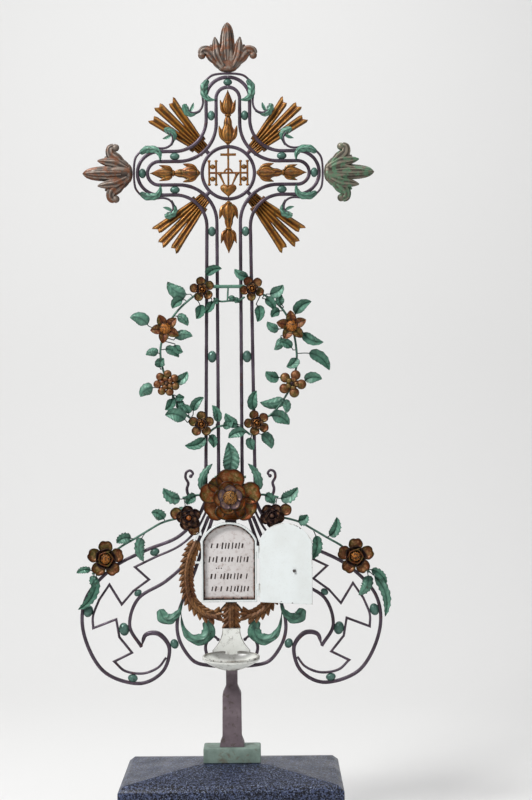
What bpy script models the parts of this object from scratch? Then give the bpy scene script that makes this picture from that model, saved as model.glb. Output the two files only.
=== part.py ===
"""Wrought iron grave cross on a granite plinth, with an opening inscription case.

Units are metres, +Z is up, the front looks along -Y and the origin is the middle
of the plinth's underside. The ironwork is drawn in elevation: x to the right,
y upwards from the plinth's top and h towards the viewer. One empty stands the
drawing upright on the plinth, and every iron piece hangs on that empty.
"""
import math

import bmesh
import bpy
import numpy as np
from mathutils import Matrix, Vector

# Plinth and foot
PLINTH_WIDTH = 0.500
PLINTH_DEPTH = 0.300
PLINTH_HEIGHT = 0.180
PLINTH_SLOPE_RISE = 0.022
PLINTH_CHAMFER = 0.012
RIDGE_WIDTH = 0.170
RIDGE_DEPTH = 0.080
SOCKET_WIDTH = 0.131
SOCKET_DEPTH = 0.056
SOCKET_HEIGHT = 0.036
SOCKET_BEVEL = 0.003

# Elevation of the ironwork: drawn places are shares of its height above the plinth
CROSS_HEIGHT = 1.700
DRAWN_HEIGHT = 1700.0
UNIT = CROSS_HEIGHT / DRAWN_HEIGHT

# Post
POST_WIDTH = 0.044
POST_DEPTH = 0.040
POST_FOOT_WIDTH = 0.056
POST_FOOT_RISE = 0.021
POST_SHOULDER_Y = 155 * UNIT
POST_NECK_Y = 174 * UNIT
NECK_WIDTH = 0.026
NECK_DEPTH = 0.032
TANG_TOP_Y = 572 * UNIT

# Bars of the cross
BAR_WIDTH = 0.008
BAR_DEPTH = 0.010
THIN_WIDTH = 0.0055
TRIM_DEPTH = 0.007
GAP = 0.0003
BITE = 0.001
CENTRE_Y = 1352 * UNIT
TOP_ARM = 170 * UNIT
SIDE_ARM = 159 * UNIT
OUTER_HALF = 50 * UNIT
INNER_HALF = 27 * UNIT
OUTER_FILLET = 73 * UNIT
INNER_FILLET = 87 * UNIT
OUTER_FOOT_HALF = 57 * UNIT
BAR_END_Y = 600 * UNIT
FILLET_TURN = math.radians(22.5)

# Layers towards the viewer: bars, sprays on them, flowers on the sprays
BAR_FRONT = BAR_DEPTH / 2
SPRAY_H = BAR_FRONT + GAP + TRIM_DEPTH / 2
FLOWER_H = BAR_FRONT + TRIM_DEPTH + 2 * GAP

# Base scrolls
VOLUTE_SWELL = 0.35
VOLUTE_SHARE = 0.86
VOLUTE_SPREAD = 0.09
HOOK_WIDTH = 0.011
HOOK_DEPTH = 0.014
SIDE_HOOK_WIDTH = 0.012
SIDE_HOOK_DEPTH = 0.015

# Ring in the middle of the cross and the work inside it
RING_RADIUS = 60 * UNIT
RING_SIDES = 24
STUB_WIDTH = 0.009
TRELLIS_WIDTH = 0.0055
TRELLIS_DEPTH = 0.006
CROSSPIECE_WIDTH = 0.007
NUT_DEPTH = 0.011
HEART_WIDTH = 0.030
HEART_DEPTH = 0.016

# Buds in the arms and rays behind them
BUD_WIDTH = 0.021
BUD_DEPTH = 0.016
PETAL_WIDTH = 0.015
PETAL_DEPTH = 0.013
RAY_THICK = 0.005
RAY_RIDGE = 0.009
RAY_RIDGE_WIDTH = 0.017
COLLAR_WIDTH = 0.011

# Bow under each finial
BOW_WIDTH = 0.005
BOW_DEPTH = 0.013
BOW_TAIL_DEPTH = 0.008
BOW_H = 0.0018
BOW_TOP = OUTER_HALF + (BAR_WIDTH + BOW_WIDTH) / 2 + GAP
BOW_SIDE = BOW_TOP + GAP
WRAP_WIDTH = 0.022
WRAP_DEPTH = 0.010
SPUR_WIDTH = 0.010
SPUR_DEPTH = 0.006

# Finial
FINIAL_FOOT = 65.7
CORE_WIDTH = 0.042
CORE_DEPTH = 0.028
LOBE_WIDTH = 0.023
LOBE_DEPTH = 0.018
CURL_WIDTH = 0.025
CURL_DEPTH = 0.022
SPIKE_WIDTH = 0.012

# Flowers: rings of a blossom as shares (spread, rise, how far its rim is waved)
CUPPED = ((0.44, 0.50, 0.0), (1.00, 0.72, 1.0))
OPEN = ((0.46, 0.85, 0.2), (1.00, 0.50, 1.0))
ROSE = (
    (0.22, 0.86, 0.0), (0.40, 0.95, 0.3), (0.54, 0.50, 0.5),
    (0.98, 0.66, 1.0), (0.90, 0.32, 1.0), (0.42, 0.0, 0.2),
)
SMALL_ROSE = ((0.44, 0.62, 0.0), (0.96, 0.90, 0.8))
FLOWER_DEPTH = 0.020
ROSE_DEPTH = 0.045
ROSE_SQUASH = 0.80
SMALL_ROSE_DEPTH = 0.024
BASE_FLOWER_DEPTH = 0.028

# Foliage
STEM_WIDTH = 0.0055
TWIG_WIDTH = 0.005
TIE_WIDTH = 0.004
TIE_DEPTH = 0.005
RAIL_WIDTH = 0.008
STRIP_WIDTH = 0.006
BROAD_LEAF_WIDTH = 0.036
LEAF_THICK = 0.0045
BALL_SIDES = 4
BALL_RINGS = 4

# Laurel round the case
LAUREL_WIDTH = 0.032
LAUREL_DROP_WIDTH = 0.040
LAUREL_DEPTH = 0.014
GARLAND_H = BAR_FRONT + GAP + 0.0072

# Inscription case and its cover
CASE_WIDTH = 127 * UNIT
CASE_SHIFT = -4 * UNIT
CASE_BOTTOM_Y = 368 * UNIT
CASE_HEIGHT = 182 * UNIT
CASE_RISE = 41 * UNIT
CASE_DEPTH = 0.020
CASE_WALL = 0.003
CASE_BACK = 0.004
PLATE_THICK = 0.003
PLATE_FIT = 0.0006
COVER_THICK = 0.0025
COVER_OPEN = math.radians(160)
KNUCKLE_RADIUS = 0.0026
KNUCKLE_LENGTH = 0.014
HINGE_GAP = 0.0006
KNUCKLE_SHARES = (0.077, 0.55)
KNOB_RADIUS = 0.004
KNOB_LENGTH = 0.014
KNOB_ACROSS = 0.70
KNOB_UP = 0.41
EAR_LENGTH = 0.016
EAR_WIDTH = 0.020
EAR_HOLD = 0.003
EAR_THICK = 0.003
EAR_SET_BACK = 0.002
LATCH_LENGTH = 0.012
LATCH_WIDTH = 0.005
LATCH_UP = 0.484
CASE_BACK_H = BAR_FRONT + GAP
CASE_FRONT_H = CASE_BACK_H + CASE_DEPTH
HINGE_X = CASE_SHIFT + CASE_WIDTH / 2 + KNUCKLE_RADIUS + GAP
HINGE_H = CASE_FRONT_H + COVER_THICK / 2 + HINGE_GAP

# Holy water bowl on its bracket and back plate
BOWL_WIDTH = 0.130
BOWL_RIM_Y = 246 * UNIT
BOWL_HEIGHT = 0.040
BOWL_WALL = 0.004
BOWL_RIM = 0.009
BOWL_STRETCH = 0.62
BOWL_STEPS = 10
BRACKET_WIDTH = 0.024
BACK_PLATE_TOP_Y = 303 * UNIT
BACK_PLATE_WIDTH = 0.0858
BACK_PLATE_HALF_BAND = 0.012
BACK_PLATE_FLARE = 0.028
BACK_PLATE_TOP_WIDTH = 0.040
BACK_PLATE_THICK = 0.004
SCREW_RADIUS = 0.003
SCREW_LENGTH = 0.004
SCREW_DROP = 0.016

FRONT = "front_elevation"


def clear_scene():
    """Empty the scene of whatever it holds."""
    for ob in list(bpy.data.objects):
        bpy.data.objects.remove(ob, do_unlink=True)


def collection(name):
    """Return the named collection, linked to the scene."""
    found = bpy.data.collections.get(name)
    if found is None:
        found = bpy.data.collections.new(name)
        bpy.context.scene.collection.children.link(found)
    return found


def material(name, colour, roughness, metallic):
    """Return a Principled material of one colour."""
    mat = bpy.data.materials.get(name)
    if mat is None:
        mat = bpy.data.materials.new(name)
        mat.use_nodes = True
        shader = mat.node_tree.nodes["Principled BSDF"]
        shader.inputs["Base Color"].default_value = (*colour, 1.0)
        shader.inputs["Roughness"].default_value = roughness
        shader.inputs["Metallic"].default_value = metallic
        mat.diffuse_color = (*colour, 1.0)
    return mat


FINISHES = {
    "granite": ((0.05, 0.055, 0.07), 0.25, 0.0),
    "foot_iron": ((0.20, 0.25, 0.21), 0.7, 0.3),
    "post_iron": ((0.13, 0.10, 0.11), 0.7, 0.4),
    "bar_iron": ((0.09, 0.06, 0.065), 0.6, 0.5),
    "verdigris": ((0.13, 0.30, 0.23), 0.7, 0.1),
    "rusty_gilding": ((0.35, 0.17, 0.05), 0.55, 0.4),
    "flower_bronze": ((0.20, 0.11, 0.05), 0.5, 0.4),
    "finial_bronze": ((0.17, 0.13, 0.10), 0.65, 0.3),
    "laurel_rust": ((0.25, 0.10, 0.05), 0.7, 0.2),
    "white_enamel": ((0.80, 0.82, 0.80), 0.35, 0.0),
    "plate_enamel": ((0.70, 0.68, 0.64), 0.4, 0.0),
}


def taken(ob):
    """Take the finished mesh of an object, its doubles welded and faces out, and drop the object."""
    bpy.context.view_layer.update()
    graph = bpy.context.evaluated_depsgraph_get()
    mesh = bpy.data.meshes.new_from_object(ob.evaluated_get(graph))
    mesh.transform(ob.matrix_world)
    bpy.data.objects.remove(ob, do_unlink=True)
    bm = bmesh.new()
    bm.from_mesh(mesh)
    bmesh.ops.remove_doubles(bm, verts=bm.verts, dist=1e-6)
    bmesh.ops.recalc_face_normals(bm, faces=bm.faces)
    if bm.calc_volume(signed=True) < 0:
        bmesh.ops.reverse_faces(bm, faces=bm.faces)
    bm.to_mesh(mesh)
    bm.free()
    return mesh


def section(width, depth, sides=4):
    """A closed flat curve that a bar carries as its section: a box, or a lens of more sides."""
    curve = bpy.data.curves.new("section", "CURVE")
    curve.dimensions = "2D"
    if sides == 4:
        points = [(-0.5, -0.5), (0.5, -0.5), (0.5, 0.5), (-0.5, 0.5)]
    elif sides == 0:
        points = [(-0.5, 0.0), (0.0, -0.5), (0.5, 0.0), (0.0, 0.5)]
    else:
        turn = math.tau / sides
        points = [(math.cos(i * turn) / 2, math.sin(i * turn) / 2) for i in range(sides)]
    spline = curve.splines.new("POLY")
    spline.points.add(len(points) - 1)
    for point, (x, h) in zip(spline.points, points):
        point.co = (x * width, h * depth, 0.0, 1.0)
    spline.use_cyclic_u = True
    ob = bpy.data.objects.new("section", curve)
    collection("guides").objects.link(ob)
    return ob


def swept(path, width, depth, swell=None, h=0.0, closed=False, sides=4):
    """Carry a section along a drawn path; swell gives its share of full size at each point."""
    guide = section(width, depth, sides)
    curve = bpy.data.curves.new("path", "CURVE")
    curve.dimensions = "2D"
    curve.fill_mode = "NONE"
    spline = curve.splines.new("POLY")
    spline.points.add(len(path) - 1)
    for i, (point, place) in enumerate(zip(spline.points, path)):
        point.co = (place[0], place[1], 0.0, 1.0)
        point.radius = 1.0 if swell is None else swell[i]
    spline.use_cyclic_u = closed
    curve.bevel_mode = "OBJECT"
    curve.bevel_object = guide
    curve.use_fill_caps = True
    ob = bpy.data.objects.new("path", curve)
    collection("guides").objects.link(ob)
    mesh = taken(ob)
    bpy.data.objects.remove(guide, do_unlink=True)
    mesh.transform(Matrix.Translation((0.0, 0.0, h)))
    return mesh


def rounded(corners, turn=FILLET_TURN):
    """Points along a polyline of (x, y, radius) whose corners are arcs."""
    points = [Vector(corners[0][:2])]
    for before, corner, after in zip(corners, corners[1:], corners[2:]):
        here = Vector(corner[:2])
        back = (Vector(before[:2]) - here).normalized()
        ahead = (Vector(after[:2]) - here).normalized()
        half = back.angle(ahead) / 2
        if corner[2] == 0:
            points.append(here)
            continue
        centre = here + (back + ahead).normalized() * corner[2] / math.sin(half)
        reach = corner[2] / math.tan(half)
        first = here + back * reach - centre
        last = here + ahead * reach - centre
        swing = math.atan2(first.x * last.y - first.y * last.x, first.dot(last))
        steps = max(1, round(abs(swing) / turn))
        for i in range(steps + 1):
            points.append(centre + Matrix.Rotation(swing * i / steps, 2) @ first)
    points.append(Vector(corners[-1][:2]))
    return points


def smooth(points, per=2):
    """A Catmull-Rom curve through drawn points, with `per` steps a span."""
    known = np.array([tuple(p[:2]) for p in points], dtype=float)
    known = np.vstack([2 * known[0] - known[1], known, 2 * known[-1] - known[-2]])
    found = []
    for i in range(1, len(known) - 2):
        a, b, c, d = known[i - 1:i + 3]
        for t in np.arange(per) / per:
            found.append(0.5 * (2 * b + (c - a) * t + (2 * a - 5 * b + 4 * c - d) * t ** 2
                                + (3 * b - a - 3 * c + d) * t ** 3))
    found.append(known[-2])
    return [Vector(p) for p in found]


def drawn(points):
    """Places given in shares of the drawn height, as metres."""
    return [Vector((x * UNIT, y * UNIT)) for x, y in points]


def block(low, high):
    """A box between two corners (x, y, h)."""
    bm = bmesh.new()
    bmesh.ops.create_cube(bm, size=1.0)
    size = [b - a for a, b in zip(low, high)]
    middle = [(a + b) / 2 for a, b in zip(low, high)]
    bmesh.ops.scale(bm, vec=size, verts=bm.verts)
    bmesh.ops.translate(bm, vec=middle, verts=bm.verts)
    mesh = bpy.data.meshes.new("block")
    bm.to_mesh(mesh)
    bm.free()
    return mesh


def ball(centre, across, along, turn=0.0, sides=BALL_SIDES, rings=BALL_RINGS, deep=None):
    """A squashed ball: `across` is its half width on x before it is turned in the drawing."""
    bm = bmesh.new()
    bmesh.ops.create_uvsphere(bm, u_segments=sides, v_segments=rings, radius=1.0)
    bmesh.ops.rotate(bm, matrix=Matrix.Rotation(math.pi / 2, 3, "Z"), verts=bm.verts)
    bmesh.ops.scale(bm, vec=(across, along, deep or min(across, along)), verts=bm.verts)
    bmesh.ops.rotate(bm, matrix=Matrix.Rotation(turn, 3, "Z"), verts=bm.verts)
    bmesh.ops.translate(bm, vec=(*centre[:2], centre[2] if len(centre) > 2 else 0.0), verts=bm.verts)
    mesh = bpy.data.meshes.new("ball")
    bm.to_mesh(mesh)
    bm.free()
    return mesh


def rod(centre, radius, length, axis="Z", sides=6):
    """A round rod about its centre."""
    bm = bmesh.new()
    bmesh.ops.create_cone(bm, cap_ends=True, segments=sides, radius1=radius, radius2=radius, depth=length)
    if axis == "Y":
        bmesh.ops.rotate(bm, matrix=Matrix.Rotation(math.pi / 2, 3, "X"), verts=bm.verts)
    bmesh.ops.translate(bm, vec=centre, verts=bm.verts)
    mesh = bpy.data.meshes.new("rod")
    bm.to_mesh(mesh)
    bm.free()
    return mesh


def slab(outline, thick, low):
    """A flat outline with thickness, its back face at height `low`."""
    curve = bpy.data.curves.new("outline", "CURVE")
    curve.dimensions = "2D"
    curve.fill_mode = "BOTH"
    curve.extrude = thick / 2
    spline = curve.splines.new("POLY")
    spline.points.add(len(outline) - 1)
    for point, place in zip(spline.points, outline):
        point.co = (place[0], place[1], 0.0, 1.0)
    spline.use_cyclic_u = True
    ob = bpy.data.objects.new("outline", curve)
    ob.location.z = low + thick / 2
    collection("guides").objects.link(ob)
    return taken(ob)


def placed(mesh, name):
    """Put a mesh into the scene as a working object."""
    ob = bpy.data.objects.new(name, mesh)
    collection("guides").objects.link(ob)
    return ob


def joined(meshes, cuts=()):
    """Unite closed meshes into one body and cut others away from it."""
    base = placed(meshes[0], "joining")
    others = [base]
    for mode, group in (("UNION", meshes[1:]), ("DIFFERENCE", cuts)):
        for i, mesh in enumerate(group):
            other = placed(mesh, "joining_part")
            others.append(other)
            step = base.modifiers.new("join_%d" % i, "BOOLEAN")
            step.operation = mode
            step.object = other
            step.solver = "EXACT"
    bpy.context.view_layer.update()
    mesh = bpy.data.meshes.new_from_object(base.evaluated_get(bpy.context.evaluated_depsgraph_get()))
    for ob in others:
        bpy.data.objects.remove(ob, do_unlink=True)
    bm = bmesh.new()
    bm.from_mesh(mesh)
    bmesh.ops.remove_doubles(bm, verts=bm.verts, dist=2e-6)
    bmesh.ops.dissolve_degenerate(bm, edges=bm.edges, dist=1e-6)
    bm.to_mesh(mesh)
    bm.free()
    return mesh


def mirrored(mesh):
    """The same mesh on the other side of the cross's axis."""
    twin = mesh.copy()
    twin.transform(Matrix.Diagonal((-1.0, 1.0, 1.0, 1.0)))
    twin.flip_normals()
    return twin


def turned(mesh, centre, angle):
    """The same mesh turned in the drawing about a drawn centre."""
    twin = mesh.copy()
    spin = Matrix.Translation((*centre, 0.0)) @ Matrix.Rotation(angle, 4, "Z")
    twin.transform(spin @ Matrix.Translation((-centre[0], -centre[1], 0.0)))
    return twin


def piece(name, mesh, finish, smooth_shade=True):
    """Make a mesh a named piece of the cross, with its own material."""
    mesh.name = name
    mesh.materials.clear()
    mesh.materials.append(material(finish + "_" + name, *FINISHES[finish]))
    if smooth_shade:
        mesh.shade_smooth()
        mesh.set_sharp_from_angle(angle=math.radians(40))
    ob = bpy.data.objects.new(name, mesh)
    collection("grave_cross").objects.link(ob)
    ob.parent = bpy.data.objects[FRONT]
    return ob


def leaf(root, tip, width, h=SPRAY_H, stalk=None, fullest=0.5):
    """A pointed leaf: a lens section that widens from its stalk and narrows to a bent tip."""
    root = Vector(root)
    tip = Vector(tip)
    along = tip - root
    side = Vector((-along.y, along.x)) * 0.1
    path = [root + along * fullest + side, tip]
    swell = [1.0, 0.0]
    if stalk is None or (root - stalk).length < width:
        path.insert(0, stalk or root)
        swell.insert(0, 0.0)
    else:
        path = [stalk, root] + path
        swell = [0.0, 0.2] + swell
    return swept(path, width, LEAF_THICK, swell, h, sides=0)


def cross_bar(half, fillet, foot_half):
    """The left half of a bar that runs round the cross: a right-angled outline with arcs."""
    top = CENTRE_Y + TOP_ARM + half
    side = -SIDE_ARM - half
    return rounded([
        (-GAP / 2, top, 0), (-half, top, half - BITE), (-half, CENTRE_Y + half, fillet),
        (side, CENTRE_Y + half, half), (side, CENTRE_Y - half, half),
        (-half, CENTRE_Y - half, fillet), (-half, CENTRE_Y - half - fillet, 0), (-foot_half, BAR_END_Y, 0),
    ])


def nearest(path, place):
    """The nearest point of a polyline to a place."""
    best = None
    for a, b in zip(path, path[1:]):
        along = b - a
        share = max(0.0, min(1.0, (place - a).dot(along) / along.length_squared))
        point = a + along * share
        if best is None or (point - place).length < (best - place).length:
            best = point
    return best


def spacer(held, clear, near, held_half=BAR_WIDTH / 2, clear_half=BAR_WIDTH / 2, long=1.3):
    """A ball between two bars: it bites into the bar that holds it and clears the other one."""
    place = Vector(near)
    for _ in range(6):
        on_held = nearest(held, place)
        on_clear = nearest(clear, place)
        place = (on_held + on_clear) / 2
    span = on_clear - on_held
    ahead = span.normalized()
    start = on_held + ahead * (held_half - BITE)
    end = on_clear - ahead * (clear_half + GAP)
    across = (end - start).length / 2
    return ball((start + end) / 2, across, across * long, math.atan2(span.y, span.x), deep=across)


def make_cross_bars():
    """Outer and inner bars of the cross, with the balls that part them."""
    middle = (OUTER_HALF + INNER_HALF) / 2
    outer_path = cross_bar(OUTER_HALF, OUTER_FILLET, OUTER_FOOT_HALF)
    inner_path = cross_bar(INNER_HALF, INNER_FILLET, INNER_HALF)
    near = [(-middle, CENTRE_Y + TOP_ARM - 38 * UNIT), (-SIDE_ARM - middle, CENTRE_Y),
            (-SIDE_ARM + 36 * UNIT, CENTRE_Y + middle), (-SIDE_ARM + 36 * UNIT, CENTRE_Y - middle),
            (-middle, 1217 * UNIT), (-middle, 929 * UNIT)]
    balls = [spacer(outer_path, inner_path, place) for place in near]
    outer = joined([swept(outer_path, BAR_WIDTH, BAR_DEPTH)] + balls)
    inner = swept(inner_path, BAR_WIDTH, BAR_DEPTH)
    make_paired("outer_bar", outer, "bar_iron")
    make_paired("inner_bar", inner, "bar_iron")
    half = (OUTER_HALF - INNER_HALF - BAR_WIDTH) / 2 - GAP
    top = ball((0.0, CENTRE_Y + TOP_ARM + middle), half * 1.35, half)
    piece("top_spacer_ball", top, "verdigris")


def scroll_paths():
    """The big bar of a base scroll, its swell, and the second bar that meets its curled end."""
    outer = smooth(drawn([
        (-57.5, 597.6), (-78, 558), (-124, 514), (-196, 485), (-272, 445), (-333, 378),
        (-340, 296), (-296, 209), (-216, 179), (-160, 205), (-143, 258), (-166, 292),
        (-197, 291), (-207, 263),
    ]))
    last = len(outer) - 1
    swell = [1.0 + VOLUTE_SWELL * math.exp(-((i / last - VOLUTE_SHARE) / VOLUTE_SPREAD) ** 2)
             for i in range(last + 1)]
    inner = smooth(drawn([
        (-207, 263), (-234, 312), (-214, 374), (-150, 414), (-96, 464), (-70, 517), (-51, 562),
    ]))
    return outer, swell, inner


def zigzag_path():
    """The thin bar that zigzags inside the base scroll."""
    upper = smooth(drawn([(-53, 580), (-80, 530), (-120, 494), (-175, 469), (-221, 447)]))
    corners = drawn([(-189, 418), (-225, 392), (-252, 361), (-280, 407)])
    side = smooth(drawn([(-304, 372), (-318, 336), (-318, 307)]))
    step = drawn([(-265, 327), (-258, 286), (-229, 250)])
    foot = smooth(drawn([(-270, 230), (-245, 208), (-205, 202), (-163, 224)]))
    return upper + corners + side + step + foot


def lower_path():
    """The U-shaped bar that carries the base into the post."""
    return smooth(drawn([
        (-33, 596), (-44, 552), (-86, 430), (-120, 345), (-122, 285), (-90, 232), (-48, 219), (-17, 219),
    ]))


def make_base_bars():
    """Base scrolls, zigzags and lower scrolls on both sides, with the balls that part them."""
    outer, swell, inner = scroll_paths()
    thin = zigzag_path()
    lower = lower_path()
    half = BAR_WIDTH / 2
    scroll = joined([
        swept(outer, BAR_WIDTH, BAR_DEPTH, swell),
        swept(inner, BAR_WIDTH, BAR_DEPTH - 2 * GAP),
    ])
    make_paired("base_scroll", scroll, "bar_iron")
    parts = [swept(thin, THIN_WIDTH, BAR_DEPTH - 2 * GAP)]
    for path, x, y in ((outer, -178, 482), (outer, -329, 353), (outer, -229, 192), (inner, -216, 386),
                       (inner, -246, 300)):
        parts.append(spacer(thin, path, (x * UNIT, y * UNIT), THIN_WIDTH / 2, half * 1.02))
    make_paired("zigzag_bar", joined(parts), "bar_iron")
    hook = drawn([(-116, 350), (-111, 310), (-94, 285), (-66, 281), (-52, 300), (-63, 322)])
    hook_swell = [0.3 + 1.5 * math.sin(math.pi * i / (len(hook) - 1)) ** 2 for i in range(len(hook))]
    side = drawn([(-112, 376), (-118, 348), (-138, 329), (-155, 330), (-164, 348)])
    side_swell = [0.8 + 1.4 * math.sin(math.pi * i / (len(side) - 1)) for i in range(len(side))]
    hook_swell[-1] = side_swell[-1] = 0.0
    curl = drawn([(-48, 219), (-60, 258), (-52, 281), (-40, 286), (-31, 279)])
    make_paired("lower_scroll", joined([
        swept(lower, BAR_WIDTH, BAR_DEPTH),
        swept(hook, HOOK_WIDTH, HOOK_DEPTH, hook_swell, sides=0),
        swept(side, SIDE_HOOK_WIDTH, SIDE_HOOK_DEPTH, side_swell, sides=0),
        swept(curl, THIN_WIDTH, TRIM_DEPTH),
        spacer(lower, outer, (-130 * UNIT, 263 * UNIT), half, half * (1 + VOLUTE_SWELL)),
    ]), "bar_iron")


def make_ring():
    """The ring in the middle of the cross, with a stub towards each inner corner."""
    turn = math.tau / RING_SIDES
    circle = [Vector((RING_RADIUS * math.cos(i * turn), CENTRE_Y + RING_RADIUS * math.sin(i * turn)))
              for i in range(RING_SIDES)]
    parts = [swept(circle, BAR_WIDTH, BAR_DEPTH, closed=True)]
    corner = (INNER_HALF + INNER_FILLET) * math.sqrt(2) - INNER_FILLET - BAR_WIDTH / 2 - 2 * GAP
    for k in range(4):
        angle = math.radians(45 + 90 * k)
        run = [Vector((math.cos(angle), math.sin(angle))) * r + Vector((0.0, CENTRE_Y))
               for r in (RING_RADIUS, corner)]
        parts.append(swept(run, STUB_WIDTH, BAR_DEPTH - 6 * GAP))
    piece("medallion_ring", joined(parts), "bar_iron")


def make_trellis():
    """The work inside the ring: a small cross on a rail, pairs of uprights, nails and a heart."""
    inside = RING_RADIUS - BAR_WIDTH / 2 - 3 * GAP
    flat = TRELLIS_DEPTH

    def run(x0, y0, x1, y1, width=TRELLIS_WIDTH, deep=TRELLIS_DEPTH):
        ends = [Vector((x0, CENTRE_Y + y0)), Vector((x1, CENTRE_Y + y1))]
        return swept(ends, width, deep)

    def nut(x, y, half):
        ends = drawn([(x - half, y), (x, y), (x + half, y)])
        ends = [p + Vector((0.0, CENTRE_Y)) for p in ends]
        return swept(ends, 2 * half * UNIT, NUT_DEPTH, (0.0, 1.0, 0.0), sides=0)

    parts = [
        run(0.0, inside, 0.0, -34 * UNIT),
        run(-18 * UNIT, 42 * UNIT, 18 * UNIT, 42 * UNIT, CROSSPIECE_WIDTH, flat + GAP),
        run(-46 * UNIT, 0.0, 46 * UNIT, 0.0, deep=flat + 2 * GAP),
        run(-21 * UNIT, -1 * UNIT, -7 * UNIT, -32 * UNIT, deep=flat - GAP),
        run(21 * UNIT, -1 * UNIT, 7 * UNIT, -32 * UNIT, deep=flat - GAP),
        nut(0.0, -1, 9),
    ]
    for side in (-1, 1):
        parts.append(run(side * 28 * UNIT, 28 * UNIT, side * 28 * UNIT, -28 * UNIT))
        parts.append(run(side * 44 * UNIT, 28 * UNIT, side * 44 * UNIT, -28 * UNIT))
        for rise in (-14, 14):
            parts.append(nut(side * 36, rise, 7))
    heart = [Vector((0.0, -math.sqrt(inside ** 2 - (4 * UNIT) ** 2))), Vector((0.0, -46 * UNIT)),
             Vector((0.0, -36 * UNIT)), Vector((0.0, -27 * UNIT))]
    heart = [p + Vector((0.0, CENTRE_Y)) for p in heart]
    parts.append(swept(heart, HEART_WIDTH, HEART_DEPTH, (0.18, 0.85, 1.0, 0.45), sides=6))
    piece("ring_trellis", joined(parts), "rusty_gilding")


def bud_spray(tip_reach):
    """Two tulip buds in line, standing on the ring; drawn pointing up from the cross's centre."""
    root = RING_RADIUS + BAR_WIDTH / 2 + 2 * GAP
    axis = ((0, 0.4), (88, 1.0), (128, 0.42), (148, 1.0))
    path = [Vector((0.0, CENTRE_Y + (root if r == 0 else r * UNIT))) for r, _ in axis]
    path.append(Vector((0.0, CENTRE_Y + tip_reach)))
    parts = [swept(path, BUD_WIDTH, BUD_DEPTH, [share for _, share in axis] + [0.0], sides=0)]
    for side in (-1, 1):
        for foot, tip, wide in ((71, 107, 19), (136, 163, 18)):
            petal = drawn([(side * 3, foot - 4), (side * 14, foot + 16), (side * wide, tip)])
            petal = [p + Vector((0.0, CENTRE_Y)) for p in petal]
            parts.append(swept(petal, PETAL_WIDTH, PETAL_DEPTH, (0.0, 1.0, 0.0), (side + 2) * GAP, sides=0))
    return joined(parts)


def make_buds():
    """One spray of buds in each arm of the cross."""
    inner_end = INNER_HALF - BAR_WIDTH / 2 - 3 * GAP
    for name, reach, turn in (("top", TOP_ARM + inner_end, 0), ("left", SIDE_ARM + inner_end, 90),
                              ("right", SIDE_ARM + inner_end, -90), ("bottom", 186 * UNIT, 180)):
        mesh = turned(bud_spray(reach), (0.0, CENTRE_Y), math.radians(turn))
        piece("bud_spray_" + name, mesh, "rusty_gilding")


def make_rays():
    """Four bundles of ridged rays behind the bars, each ray cut like a swallow's tail."""
    low = -BAR_FRONT - GAP - (RAY_THICK + RAY_RIDGE) / 2
    ridge_h = low + RAY_THICK / 2
    middle = Vector((0.0, CENTRE_Y))

    def at(reach, lean):
        lean = math.radians(lean)
        return Vector((math.sin(lean), math.cos(lean))) * reach * UNIT + middle

    outline = [at(72, -11)]
    ridges = []
    for lean, first, second in ((-8, 216, 222), (0, 229, 226), (8, 219, 210)):
        outline += [at(first, lean - 3), at((first + second) / 2 - 16, lean), at(second, lean + 3)]
        if lean < 8:
            outline.append(at(168, lean + 4))
        stations = [at(109, lean * 0.95), at(156, lean), at(204, lean)]
        ridges.append(swept(stations, RAY_RIDGE_WIDTH, RAY_RIDGE, (0.0, 1.0, 0.0), ridge_h, sides=0))
    outline.append(at(72, 11))
    outline.reverse()
    collar = swept([at(100, -14), at(100, 14)], COLLAR_WIDTH, RAY_RIDGE - GAP, h=ridge_h)
    bundle = joined([slab(outline, RAY_THICK, low), collar] + ridges)
    for name, turn in (("upper_left", 46), ("upper_right", -46), ("lower_left", 136), ("lower_right", -136)):
        mesh = turned(bundle if turn > 0 else mirrored(bundle), (0.0, CENTRE_Y), math.radians(turn))
        piece("rays_" + name, mesh, "rusty_gilding")



def bow():
    """The bow under a finial with its leaves, drawn upright with the arm end's centre at the origin."""
    half = drawn([(-43, 49), (-58.5, 26)])
    half += [Vector((-BOW_SIDE, -10 * UNIT)), Vector((-63 * UNIT, -24 * UNIT))]
    half.insert(0, Vector((-22 * UNIT, BOW_TOP)))
    hug = half[::-1] + [Vector((-p.x, p.y)) for p in half]
    tail = drawn([(-59, -13), (-66, -28), (-80, -32), (-91, -26), (-97, -9)])
    wrap = drawn([(-60, 4), (-52, 33), (-28, 24)])
    spur = drawn([(-92, -30), (-80, -6)])
    side = [
        swept(tail, BOW_WIDTH * 0.96, BOW_TAIL_DEPTH, (1.0, 1.1, 1.3, 1.5, 0.0), BOW_H),
        swept(wrap, WRAP_WIDTH, WRAP_DEPTH, (0.4, 1.0, 0.0), BAR_FRONT + 2 * GAP + WRAP_DEPTH / 2, sides=0),
        swept(spur, SPUR_WIDTH, SPUR_DEPTH, (0.6, 0.0), BOW_H, sides=0),
    ]
    return joined([swept(hug, BOW_WIDTH, BOW_DEPTH, h=BOW_H)] + side + [mirrored(mesh) for mesh in side])


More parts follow.
